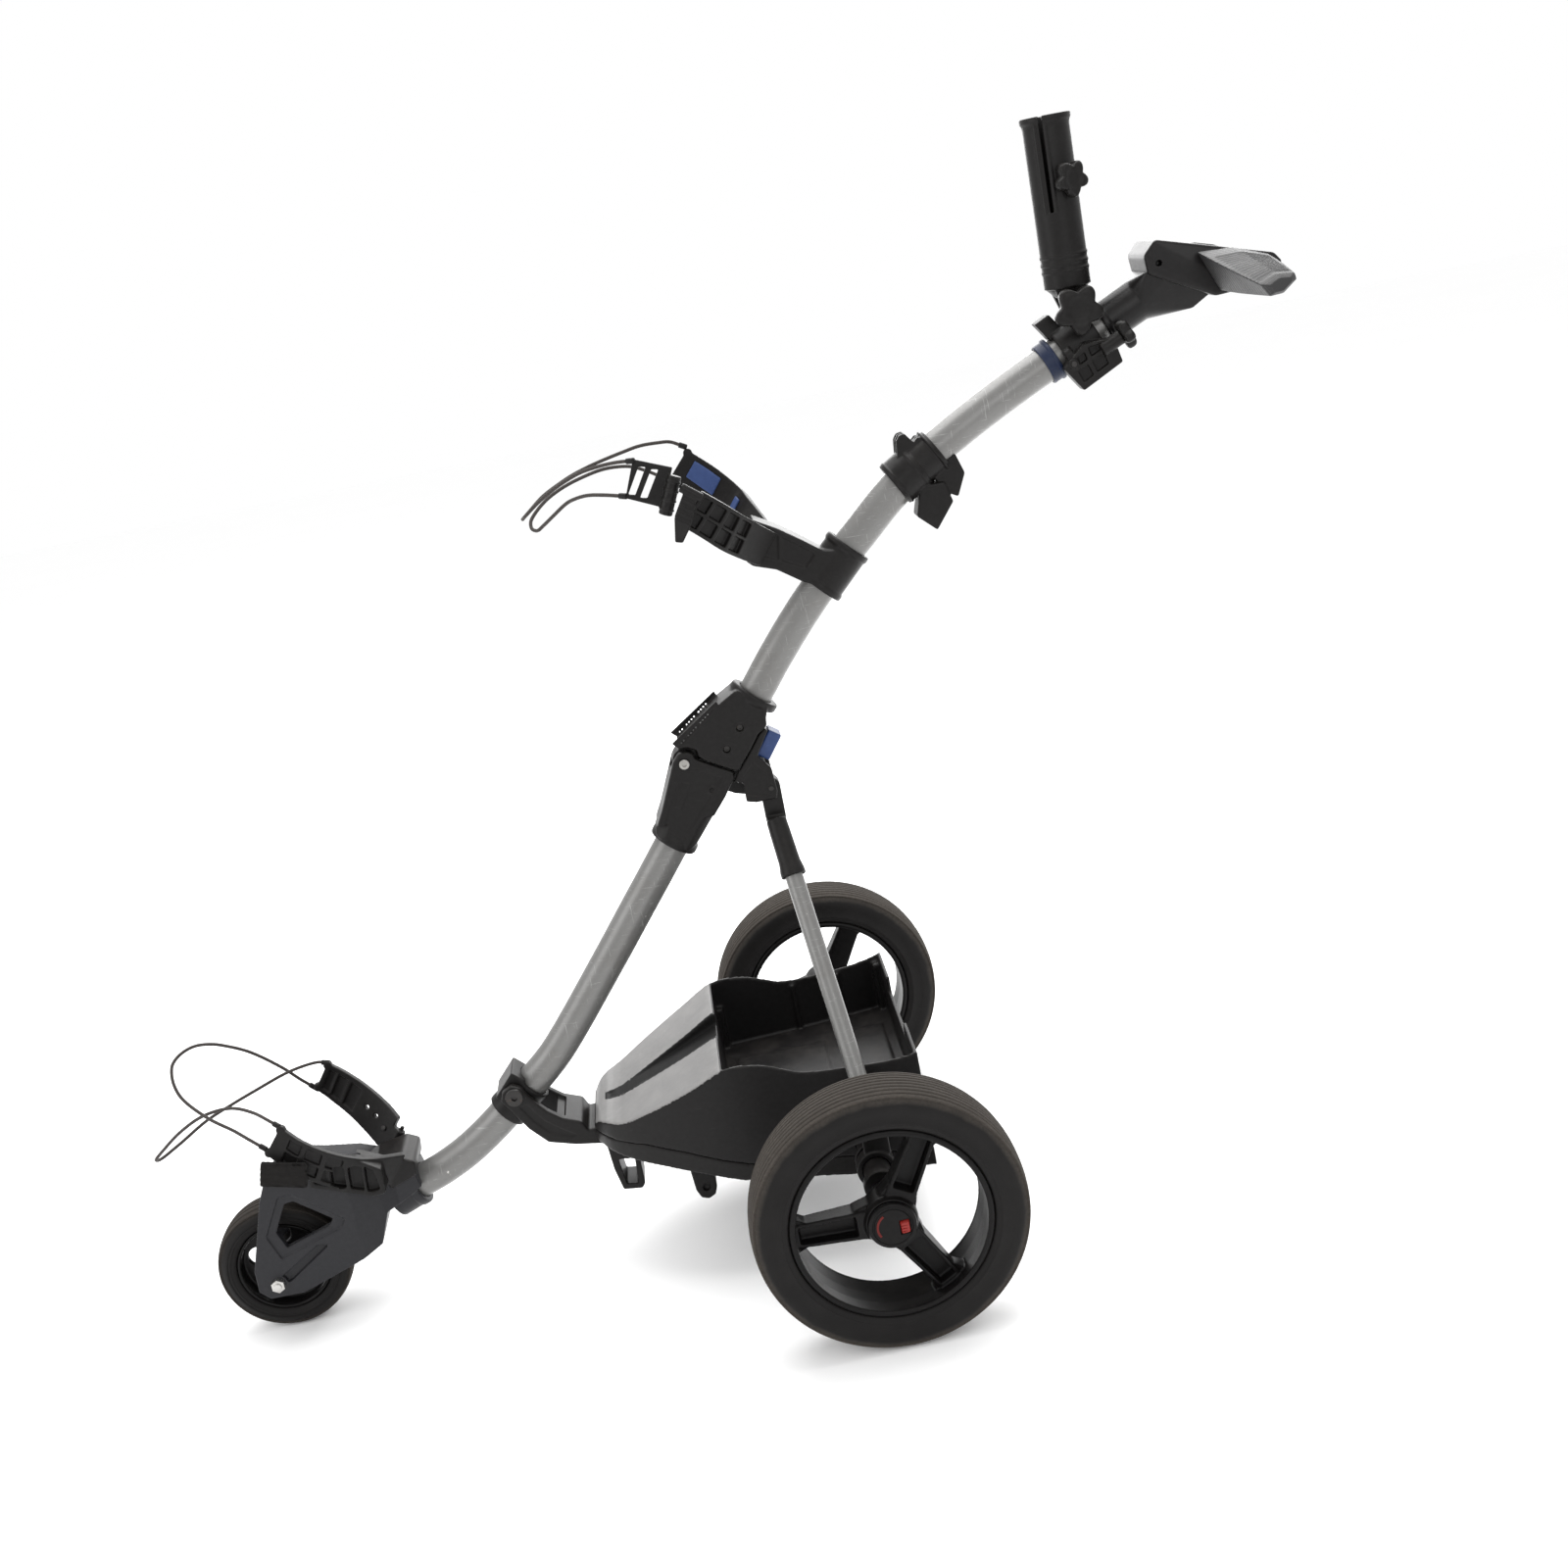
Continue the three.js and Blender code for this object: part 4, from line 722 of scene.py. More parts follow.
def star(c, d, r, th, lobes=5, seg=90, core=0.0):
    """A lobed knob whose face looks along d, dished in the middle, with rounded rims."""
    X, Y, Z = basis(d)
    C = Vector(c)
    levels = [(0.0, 0.80), (0.6, 0.90), (1.8, 0.97), (th * 0.5, 1.0), (th - 2.4, 0.97), (th - 1.0, 0.90), (th, 0.78), (th - 0.3, 0.58), (th - 1.6, 0.46), (th - 2.0, 0.30)]
    verts, faces = [], []
    for h, k in levels:
        for i in range(seg):
            a = 2 * math.pi * i / seg
            lob = 0.5 + 0.5 * math.cos(lobes * a)
            R = r * (0.70 + 0.30 * lob ** 0.75)
            R = R * k if k > 0.6 else r * k * 0.92
            verts.append(C + Z * h + X * (R * math.cos(a)) + Y * (R * math.sin(a)))
    m = seg
    for j in range(len(levels) - 1):
        for i in range(seg):
            q = (i + 1) % seg
            faces.append((j * m + i, j * m + q, (j + 1) * m + q, (j + 1) * m + i))
    a, b = len(verts), len(verts) + 1
    verts += [C, C + Z * (th - 2.0)]
    for i in range(seg):
        q = (i + 1) % seg
        faces.append((a, q, i))
        faces.append((b, (len(levels) - 1) * m + i, (len(levels) - 1) * m + q))
    return obj(verts, faces)


# ------------------------------------------------------------------ tubes
lowerLine = [[-500,0,119],[-472,0,128.5],[-445,0,138.5],[-415,0,153.5],[-383,0,175],[-350,0,201.5],[-313,0,231.5],[-298,0,246],[-273,0,274.5],[-242,0,312],[-210.5,0,350.5],[-188,0,378.5],[-165,0,406.8],[-131.5,0,448.5],[-104.5,0,482.2]]
upperLine = [[-74,0,528],[-60,0,542],[-25,0,577.5],[4,0,613],[42,0,656],[79,0,692.5],[114,0,723],[143,0,748.5],[182,0,777],[221,0,799.5],[258,0,818.5],[295,0,836],[326,0,850],[363,0,866],[400,0,883]]


def bore(line, r=TUBE_R + 0.5):
    a, b = Vector(line[0]), Vector(line[-1])
    da, db = (Vector(line[1]) - a).normalized(), (b - Vector(line[-2])).normalized()
    return tube([tuple(a - da * 3)] + line + [tuple(b + db * 3)], r)


finish(tube(lowerLine, TUBE_R, TUBE_BORE), "lower_tube", angle=0.6)
finish(tube(upperLine, TUBE_R, TUBE_BORE), "upper_tube", angle=0.6)


def tang(i):
    a, b = upperLine[i], upperLine[i + 1]
    return unit((b[0] - a[0], 0, b[2] - a[2]))


def ycyl(x, z, r, y0, y1, seg=48, e=0.0):
    return cyl((x, y0, z), (x, y1, z), r, seg, e=e)


def turned(ob, c, deg, grow=1.0):
    """A copy of ob turned by deg about the axis -Y through (x, z) = c."""
    me = ob.data.copy()
    mid = sum((v.co for v in me.vertices), Vector()) / len(me.vertices)
    C = W((c[0], 0, c[1]))
    me.transform(Matrix.Translation(mid) @ Matrix.Scale(grow, 4) @ Matrix.Translation(-mid))
    me.transform(Matrix.Translation(C) @ Matrix.Rotation(math.radians(deg), 4, Vector((0, -1, 0))) @ Matrix.Translation(-C))
    o = bpy.data.objects.new("t", me)
    bpy.context.scene.collection.objects.link(o)
    return o


# ------------------------------------------------------------------ main hinge
lowDir = unit((27, 0, 33.7))
lo = [(-117,533),(-138,486),(-148,467),(-149,460),(-121,438),(-110,443),(-72,487),(-56,509.5),(-70,517.5),(-89,529),(-95,533),(-95,538),(-101,542),(-110,541)]
h = ext(lo, -23.5, 23.5, 3.0)
h = clip(h, union(cyl(along((-131.5,0,448.5), lowDir, -60), along((-131.5,0,448.5), lowDir, 150), 26.5, 64), box(-170, -23.5, 470, -60, 23.5, 560)))
h = union(h, ring([(18.4, -3), (24.2, -3), (25.2, -1), (25.2, 5), (24.0, 7), (18.4, 7)], along((-131.5,0,448.5), lowDir, -2), lowDir, 64))
# shallow panel on each side that follows the outline
for s in (-1, 1):
    y0, y1 = (-30, -22.6) if s < 0 else (22.6, 30)
    h = cut(h, ext([(-110,524),(-131,485),(-139,468),(-122,452),(-84,492),(-71,508),(-92,521)], y0, y1))
    h = union(h, ext([(-112,512),(-124,488),(-118,484),(-104,508)], min(s * 21.5, s * 23.3), max(s * 21.5, s * 23.3), 0.4),
              ycyl(-84, 497, 4.6, min(s * 21.5, s * 23.4), max(s * 21.5, s * 23.4), 32))
    h = cut(h, ycyl(-84, 497, 2.6, min(s * 21.8, s * 30), max(s * 21.8, s * 30), 6))
h = cut(h, bore(lowerLine, 18.1), box(-130, -12.7, 522, -80, 12.7, 560), ycyl(*PIVOT, 13.2, -12.7, 12.7), ycyl(*PIVOT, 3.4, -50, 50))
low_relief = turned(h, PIVOT, 0)
finish(mould(h, 0.75, 3, 0.22), "hinge_lower_housing")

p = cyl((PIVOT[0], -25.5, PIVOT[1]), (PIVOT[0], 25.5, PIVOT[1]), 3.1)
p = union(p, cyl((PIVOT[0], -26.5, PIVOT[1]), (PIVOT[0], -23.7, PIVOT[1]), 5.2, e=0.9), cyl((PIVOT[0], 23.7, PIVOT[1]), (PIVOT[0], 26.5, PIVOT[1]), 5.2, e=0.9))
p = cut(p, cyl((PIVOT[0], -30, PIVOT[1]), (PIVOT[0], -24.8, PIVOT[1]), 2.5, 6), cyl((PIVOT[0], 24.8, PIVOT[1]), (PIVOT[0], 30, PIVOT[1]), 2.5, 6))
finish(p, "hinge_pin", "axle_steel", angle=0.5)

upDir = unit((34, 0, 36))
up = [(-40,594),(-12,571),(-16,560),(-17,551),(-27,545),(-37.6,530.6),(-54.8,510.6),(-69.6,519.3),(-86,529.5),(-91,535),(-91,541),(-100,546),(-111,545),(-109,549),(-60,583)]
h = ext(up, -23.5, 23.5, 3.0)
h = union(h, clip(ext([(-118,531),(-106,517),(-90,520),(-80,535),(-95,552),(-111,548)], -12.4, 12.4),
                  union(ycyl(*PIVOT, 12.6, -12.4, 12.4), ext([(-106,530),(-80,530),(-80,552),(-110,548)], -12.4, 12.4))))
for s in (-1, 1):
    y0, y1 = min(s * 21, s * 23.6), max(s * 21, s * 23.6)
    h = union(h, ext([(-114,553),(-108,546),(-60,580.5),(-62,587)], y0, y1, 0.5))
    h = cut(h, ext([(-107,550.9),(-106.2,549.7),(-66,579.4),(-66.6,580.7)], min(s * 20, s * 30), max(s * 20, s * 30)))
    for x, z in ((-44, 555), (-61, 536)):
        h = union(h, ycyl(x, z, 5.4, min(s * 22, s * 24.0), max(s * 22, s * 24.0), 40))
        h = cut(h, ycyl(x, z, 3.7, min(s * 19, s * 30), max(s * 19, s * 30), 32))
# flared collar at the top and the ring below it
tdir = unit((38, 0, 43))
h = union(h, ring([(18.4, -6), (25.0, -6), (26.3, -3.5), (26.3, 1.5), (25.2, 3), (18.4, 3)], (-23, 0, 580), unit((34, 0, 38)), 64))
h = cut(h, bore(upperLine, 18.1), ycyl(*PIVOT, 3.4, -50, 50), ycyl(*PIVOT, 13.3, 12.9, 30), ycyl(*PIVOT, 13.3, -30, -12.9))
for deg in (92, 96, 99, 102, 105, 106):
    h = cut(h, turned(low_relief, PIVOT, -deg, 1.035))
drop(low_relief)
finish(mould(h, 0.75, 3, 0.22), "hinge_upper_housing")
for i, (x, z) in enumerate(((-44, 555), (-61, 536))):
    for s, sn in ((-1, "l"), (1, "r")):
        q = cyl((x, s * 18.4, z), (x, s * 21.2, z), 3.5, 32, e=0.7)
        q = cut(q, cyl((x, s * 20.2, z), (x, s * 23, z), 1.7, 6))
        extra(q, "hinge_upper_housing", "v_housing_screw_%d%s" % (i, sn), "dark_steel", angle=0.5)

bo = [(-71.6,485.6),(-61,479.5),(-42,474),(-21,474),(-19,482),(-20.5,507),(-32,522),(-17,546),(-19.5,549),(-26.4,543.8),(-37.2,529.8),(-54.2,509.4)]
h = ext(bo, -21, 21, 1.6)
h = cut(h, ext([(-90,440),(-90,505),(-60,513),(-20,513),(0,508),(0,440)], -15.5, 7.5))
bC, bU, bV = (-19.3, 0, 529.1), unit((0.6, 0, 0.8)), (0, 1, 0)


def btn(w, l, d0, d1, b=0.0):
    return extl([(-l/2, -w/2), (l/2, -w/2), (l/2, w/2), (-l/2, w/2)], bC, bU, bV, d0, d1, b)


h = cut(h, btn(24.8, 30, -16, 12))
h = cut(h, ext([(-62,488),(-40,480),(-27,480),(-25.5,503),(-38,517),(-52,503)], -30, -20.2))
# the slot is relieved along the path of the strut's head
sT, sB = (-26, -20, 450), (8, -185, 150)
sDir = unit([sB[i] - sT[i] for i in range(3)])
sp = lambda z: along(sT, sDir, (z - sT[2]) / sDir[2])
hd = union(lathe([(0,-2),(12.0,-2),(12.6,14),(13.0,49),(14.4,55),(14.4,63),(0,63)], sp(452), sDir, 24), box(-37.6, -15.4, 444, -13.4, 5.4, 485), ycyl(-25.5, 485, 12.1, -15.4, 5.4, 24),
           hull([(x, y, z) for x in (-37, -14) for y in (-15.4, 4.6) for z in (456.5, 452)] + [tuple(Vector(sp(438)) + Vector((12 * math.cos(a), 12 * math.sin(a), 0))) for a in (0, 1, 2, 3, 4, 5)]))
for deg in (60, 66, 72, 78, 84, 90, 95, 100, 105, 106):
    a1 = turned(hd, (0, 132.5), -0.131683 * deg)
    a2 = turned(a1, CHP, 0.225716 * deg)
    h = cut(h, turned(a2, PIVOT, -deg))
    drop(a1, a2)
drop(hd)
finish(mould(h, 0.75, 3, 0.25), "latch_block")
h = btn(24, 29, -8.5, 6, 1.6)
for k in (-7.5, -2.5, 2.5, 7.5):
    h = union(h, extl([(k - 0.9, -9), (k + 0.9, -9), (k + 0.9, 9), (k - 0.9, 9)], bC, bU, bV, 5, 7.0, 0.4), )
finish(mould(h, 0.6, 3, 0.3), "latch_button")
# pin through the cheeks that the strut's head turns on
q = cyl((-25, -22.2, 486), (-25, -14, 486), 2.6, 32, e=0.7)
extra(q, "latch_block", "v_latch_pin", "dark_steel")

# ------------------------------------------------------------------ strut
sT, sB = (-26, -20, 450), (8, -185, 150)
sDir = unit([sB[i] - sT[i] for i in range(3)])
sp = lambda z: along(sT, sDir, (z - sT[2]) / sDir[2])
finish(cut(cyl(sp(414), sp(168), 9.3, 56), cyl(sp(440), sp(120), 7.6, 48)), "strut_tube", angle=0.6)
h = union(lathe([(0,0),(9.8,0),(10.4,0.8),(10.8,14),(11.2,46),(12.2,52),(12.9,56),(12.9,60),(12.2,61.2),(0,61.2)], sp(452), sDir, 64),
          box(-36, -14, 447, -15, 4, 485, 2.0), ycyl(-25.5, 485, 10.5, -14, 4, 48, 1.5), hull([(-35, -14, 455), (-16, -14, 455), (-35, 3, 455), (-16, 3, 455), *[tuple(Vector(sp(440)) + Vector((10 * math.cos(a), 10 * math.sin(a), 0))) for a in (0, 1, 2, 3, 4, 5)]]))
h = cut(h, cyl(sp(424), sp(380), 9.5, 48))
finish(mould(h, 0.7, 3, 0.3), "strut_sleeve")
h = union(ring([(13.8,0),(18.7,0),(19.5,0.8),(19.5,14.2),(18.7,15),(13.8,15)], (0,-177,132.5), (0,-1,0), 64), box(-9,-190,146,17,-178,168, 1.5),
          lathe([(0,0),(11.2,0),(11.8,0.8),(12.2,8),(12.2,46),(0,46)], sp(200), sDir, 56))
h = cut(h, cyl(sp(206), sp(165), 9.5, 48), cyl((0,-230,132.5), (0,-120,132.5), 13.8, 64), box(-60,-176.9,60,60,-150,153))
finish(mould(h, 0.7, 3, 0.3), "strut_foot")

# ------------------------------------------------------------------ fork and front wheel
forkSide = [(-612,206),(-630,168),(-656,90),(-657,66),(-647,56),(-612,55),(-553,75),(-521,87),(-509,118),(-496,120),(-470,134),(-478,170),(-520,196)]
forkPlan = [(-665,-54),(-540,-54),(-512,-40),(-496,-27),(-465,-27),(-465,27),(-496,27),(-512,40),(-540,54),(-665,54)]
h = clip(ext(forkSide, -54, 54), extz(forkPlan, 40, 230))
h = cut(h, ext([(-700,40),(-553,40),(-545,80),(-545,130),(-575,158),(-610,170),(-700,175)], -43, 43))
win = [(-607,160),(-597,161),(-561,131),(-566,124),(-617,108),(-624,129)]
cxw = sum(q[0] for q in win) / 6
czw = sum(q[1] for q in win) / 6
grow = lambda k: [(cxw + (x - cxw) * k, czw + (z - czw) * k) for x, z in win]
h = cut(h, ext(grow(0.96), -60, 60))
for s in (-1, 1):
    a0, a1 = (-60, -51.6) if s < 0 else (51.6, 60)
    # recessed border round the window, and the diagonal slot
    h = cut(h, ext(grow(1.34), a0, a1), ext([(-642,63),(-619,73),(-573,104),(-584,107),(-628,80),(-646,70)], min(s * 49, s * 60), max(s * 49, s * 60)))
    h = union(h, ycyl(FRONT[0], FRONT[1], 9.4, min(s * 44, s * 54.2), max(s * 44, s * 54.2), 48))
crown = [(-700,176),(-612,176),(-575,167),(-545,162),(-505,157),(-486,160),(-470,172),(-470,240),(-700,240)]
h = cut(h, ext(crown, -43, 60))
frontDir = unit((28, 0, 10.8))
sock = (-500, 0, 119)
h = union(h, cyl(along(sock, frontDir, -6), along(sock, frontDir, 26), 24, 64, e=1.5), ring([(18.4, 18), (25, 18), (25.4, 19), (25.4, 25), (24.6, 26.5), (18.4, 26.5)], sock, frontDir, 64))
h = cut(h, ycyl(*FRONT, 4.4, -60, 60), bore(lowerLine, 18.1))
finish(mould(h, 1.0, 4, 0.28), "front_fork", "fork_plastic")
h = union(ycyl(*FRONT, 4.0, -56, 56), cyl((FRONT[0], -60, FRONT[1]), (FRONT[0], -54.2, FRONT[1]), 7.5, 6), cyl((FRONT[0], 54.2, FRONT[1]), (FRONT[0], 60, FRONT[1]), 7.5, 6))
h = union(h, cyl((FRONT[0], -62.0, FRONT[1]), (FRONT[0], -59, FRONT[1]), 4.0, 32, e=0.8))
finish(bevelled(h, 0.5, 2, 0.5), "front_axle_bolt", angle=0.5)

FC = (FRONT[0], 0, FRONT[1])


def arc(c, r, a0, a1, n):
    return [(c[0] + r * math.cos(a0 + (a1 - a0) * i / n), c[1] + r * math.sin(a0 + (a1 - a0) * i / n)) for i in range(n + 1)]


def tyre_profile(R, half, rin, ribs, depth, w0):
    """Closed (r, h) profile: bead, rounded sidewall with a raised ring, and a ribbed crown."""
    pts = [(rin, -half + 4), (rin, half - 4), (rin + 1.5, half - 2.2), (rin + 4, half - 1.2), (rin + 6, half - 0.9), (rin + 6.6, half - 0.3), (rin + 8.0, half - 0.3), (rin + 8.8, half - 0.8)]
    sh = (R - rin) * 0.5
    side = [(rin + sh, half + 0.0), (R - 12, half), (R - 8, half - 1.2), (R - 4.6, half - 4)]
    crown = []
    n = ribs * 2 + 1
    span = half - 4.0
    for i in range(n):
        # ribs alternate with narrow grooves across the crown
        y0 = span - 2 * span * i / n
        y1 = span - 2 * span * (i + 1) / n
        groove = i % 2 == 1
        yw = (y0 + y1) / 2
        rr = R - 3.2 * (abs(yw) / half) ** 2.4
        if groove:
            m = (y0 - y1) * 0.24
            crown += [(rr - depth, yw + m * 0.6), (rr - depth, yw - m * 0.6)]
        else:
            ext_ = (y0 - y1) * 0.20
            ra = R - 3.2 * (min(half, abs(y0 + ext_)) / half) ** 2.4
            rb = R - 3.2 * (min(half, abs(y1 - ext_)) / half) ** 2.4
            crown += [(ra - 0.35, y0 + ext_), (ra, y0 + ext_ - 0.5), (rr, yw), (rb, y1 - ext_ + 0.5), (rb - 0.35, y1 - ext_)]
    back = [(r, -y) for r, y in reversed(side)]
    back += [(rin + 8.8, -half + 0.8), (rin + 8.0, -half + 0.3), (rin + 6.6, -half + 0.3), (rin + 6, -half + 0.9), (rin + 4, -half + 1.2), (rin + 1.5, -half + 2.2)]
    return pts + side + crown + back


finish(ring(tyre_profile(71.5, 22, 50, 4, 1.6, 0), FC, (0, 1, 0), 128), "front_tyre", "tyre_front", angle=0.75)
h = union(ring([(46,-18),(47.0,-19.4),(49.2,-19.4),(49.4,-18),(49.4,18),(49.2,19.4),(47.0,19.4),(46,18)], FC, (0,1,0), 96),
          ring([(4.6,-3),(47.5,-3),(47.5,3),(4.6,3)], FC, (0,1,0), 96),
          ring([(4.4,-42),(10,-42),(11,-41),(13,-10),(16,-3),(16,3),(13,10),(11,41),(10,42),(4.4,42)], FC, (0,1,0), 64))
for i in range(5):
    a = i * 2 * math.pi / 5 + 0.3
    h = cut(h, ycyl(FC[0] + 30 * math.cos(a), FC[2] + 30 * math.sin(a), 11, -10, 10, 40))
finish(mould(h, 0.9, 3, 0.35), "front_rim", "rim_plastic")

# ------------------------------------------------------------------ collar, pivot and yoke
colDir = unit((37, 0, 30))
h = cyl(along((-351,0,200.7), colDir, -20), along((-351,0,200.7), colDir, 22), 21.8, 64, e=1.2)
h = union(h, ext([(-372,214),(-350,238),(-338,226),(-342,205),(-360,200)], -21.8, 21.8, 1.5), ycyl(CHP[0], CHP[1], 14, -21.9, 21.9, 56, 1.5),
          ring([(18.4,-20.5),(21.8,-20.5),(22.0,-19.5),(22.0,-15),(21.8,-14),(18.4,-14)], (-351,0,200.7), colDir, 64),
          ring([(18.4,16),(21.8,16),(22.0,17),(22.0,21.5),(21.8,22.5),(18.4,22.5)], (-351,0,200.7), colDir, 64))
h = cut(h, bore(lowerLine, 18.1), ycyl(*CHP, 4.4, -60, 60))
finish(mould(h, 0.8, 3, 0.3), "front_collar")
h = union(ycyl(*CHP, 4.0, -34, 34), cyl((CHP[0],-37,CHP[1]), (CHP[0],-32.4,CHP[1]), 9.5, 48, e=1.4), cyl((CHP[0],32.4,CHP[1]), (CHP[0],37,CHP[1]), 9.5, 48, e=1.4))
h = cut(h, cyl((CHP[0],-40,CHP[1]), (CHP[0],-34.8,CHP[1]), 3.4, 6))
finish(h, "pivot_bolt", "dark_steel", angle=0.5)
ys = [(-363,222),(-366,212),(-360,203),(-345,176),(-328,156),(-300,147),(-278,143),(-262,139),(-262,161),(-284,161),(-289,172),(-308,180),(-322,192),(-338,212),(-343,223),(-352,228)]
h = ext(ys, -32, 32, 2.0)
h = cut(h, box(-400,-22.6,100,-306,22.6,240), ycyl(*CHP, 4.4, -60, 60))
for s in (-1, 1):
    h = cut(h, ext([(-349,203),(-338,183),(-324,166),(-303,157),(-296,158),(-312,170),(-326,182),(-341,205)], min(s * 30.8, s * 40), max(s * 30.8, s * 40)))
h = union(h, ext([(-316,170),(-304,163),(-290,157),(-280,158),(-284,162),(-300,173),(-309,177),(-315,181)], -24, 24, 1.0))
finish(mould(h, 0.9, 4, 0.3), "yoke")

# ------------------------------------------------------------------ battery tray and pan
planR = [(-284,24),(-262,62),(-240,82),(-200,101),(-160,113),(-135,117),(-51,122),(20,131),(64,138)]


def smooth2(pts, per=5):
    return [(v.x, v.y) for v in catmull([(p[0], p[1], 0) for p in pts], per)]


pr = smooth2(planR, 5)
plan = [(x, -y) for x, y in pr] + [(x, y) for x, y in reversed(pr)]


def plan_in(d, x1=64):
    q = []
    for i, (x, y) in enumerate(pr):
        if x <= x1 - d:
            q.append((x + d * (1 if x < -240 else 0.2), y - d))
    q.append((x1 - d, pr[-1][1] - d))
    q = [(x, max(y, 1.0)) for x, y in q]
    return [(x, -y) for x, y in q] + [(x, y) for x, y in reversed(q)]


ts = [(-276,170),(-267,179),(-245,183),(-215,196),(-189,208),(-162,221),(-147,229),(-134,235),(-113,237),(-90,233),(-79,229),(-68,224),(-55,219),(-34,216.5),(-10,216),(23,216),(52,219),(64,222)]
ts = smooth2(ts, 3)
traySide = ts + [(64,116),(0,116),(-108,124),(-146,136),(-184,150),(-222,160),(-250,162),(-276,164)]
h = clip(ext(traySide, -140, 140), extz(plan, 100, 260))
h = cut(h, extz([(-131,-113.5),(-51,-118.3),(20,-127.3),(60,-134.3),(60,134.3),(20,127.3),(-51,118.3),(-131,113.5)], 158, 260))
h = cut(h, clip(ext([(-240,150),(-215,174),(-189,190),(-162,204),(-138,214),(-138,154.5),(60,154.5),(60,90),(-108,90),(-250,120)], -140, 140), extz(plan_in(4), 80, 260)))
g = clip(hull([(-131,-30,262),(-131,30,262),(-131,-26,206),(-131,26,206),(-260,-6,176),(-260,6,176),(-256,-9,200),(-256,9,200)]), ext([(-262,178),(-131,224),(-131,262),(-262,215)], -60, 60))
h = cut(h, g, cyl((0,-160,132.5), (0,160,132.5), 14.2, 48), ext([(56,204),(70,204),(70,230),(56,230)], -62, 62))
# lip along the top of the walls, ribs inside, and the corner posts
for s in (-1, 1):
    h = union(h, box(-131, min(s * 104, s * 116), 157, -124, max(s * 104, s * 116), 206, 1.2), box(52, min(s * 122, s * 135), 157, 60.5, max(s * 122, s * 135), 214, 1.2),
              box(-44, min(s * 116, s * 121), 157, -40, max(s * 116, s * 121), 212, 0.8), box(8, min(s * 122.5, s * 127), 157, 12, max(s * 122.5, s * 127), 212, 0.8))
# raised pads and channels on the floor
h = union(h, box(-118, -70, 157.5, -20, 70, 159.4, 0.8), box(0, -84, 157.5, 48, 84, 159.4, 0.8))
tray = mould(h, 1.4, 4, 0.3)
tray = finish(tray, "battery_tray")
# the upward faces of the pads over the nose, on the same moulding, get a lighter, smoother material that is a painted
# highlight; the groove between them gets a darker painted shade
tray.data.materials.append(M["nose_pad_painted_highlight"])
tray.data.materials.append(M["groove_painted_shade"])
for poly in tray.data.polygons:
    cx, cy, cz = poly.center
    X, Y, Z = cx * 1000 - OX, cy * 1000, cz * 1000
    # faces in the groove between the pads: painted shade
    if -263 < X < -132.5 and Z > 172 and abs(Y) < 9.5 + (X + 260) * 0.185:
        poly.material_index = 2
    # upward faces of the pads: painted highlight
    elif X < -133 and poly.normal.z > 0.40 and Z > 172:
        poly.material_index = 1
# dark seam strip and pan below
ps = [(-278,163.4),(-276,150),(-250,144),(-207,134),(-169,123),(-130,110),(-24,96),(64,95),(64,115.6),(0,115.6),(-108,123.6),(-146,135.6),(-184,149.6),(-222,159.6),(-250,161.6)]
h = clip(ext(ps, -140, 140), extz(plan_in(0.4), 80, 200))
h = cut(h, clip(ext([(-238,151),(-207,140),(-169,128),(-130,114),(-24,100),(60,99),(60,130),(-108,130),(-184,156)], -140, 140), extz(plan_in(4.5), 80, 220)))
h = cut(h, box(-300, -33, 130, -261.6, 33, 181), cyl((0,-160,132.5), (0,160,132.5), 14.2, 48))
# ribs under the pan
for y in (-84, -56, 56, 84):
    h = union(h, ext([(-110,105.5),(-24,94.5),(56,93.5),(56,97),(-24,98),(-110,108)], y - 1.5, y + 1.5))
finish(mould(h, 1.4, 4, 0.3), "chassis_pan")

h = ext([(-270,139),(-268,108),(-263,82),(-243,79),(-239,84),(-238,136),(-250,143.2)], -28, 12, 1.5)
h = cut(h, ext([(-261,118),(-258,88),(-246,86),(-244,116)], -40, 30), box(-300,-60,138.4,-260,60,200), ext([(-280,144),(-250,143.6),(-207,133.7),(-207,180),(-280,180)], -60, 60))
finish(mould(h, 0.9, 4, 0.4), "foot_loop")
h = ext([(-206,106),(-190,90),(-188,62),(-184,52),(-176,49),(-168,53),(-165,62),(-164,104),(-164,130),(-206,132)], -26, 2, 1.5)
h = cut(h, ext([(-250,143.6),(-207,133.6),(-169,122.6),(-130,109.6),(-130,180),(-250,180)], -60, 60), ycyl(-176, 63, 4, -30, -22), ycyl(-176, 63, 4, -2, 10))
finish(mould(h, 0.9, 4, 0.4), "foot_tab")

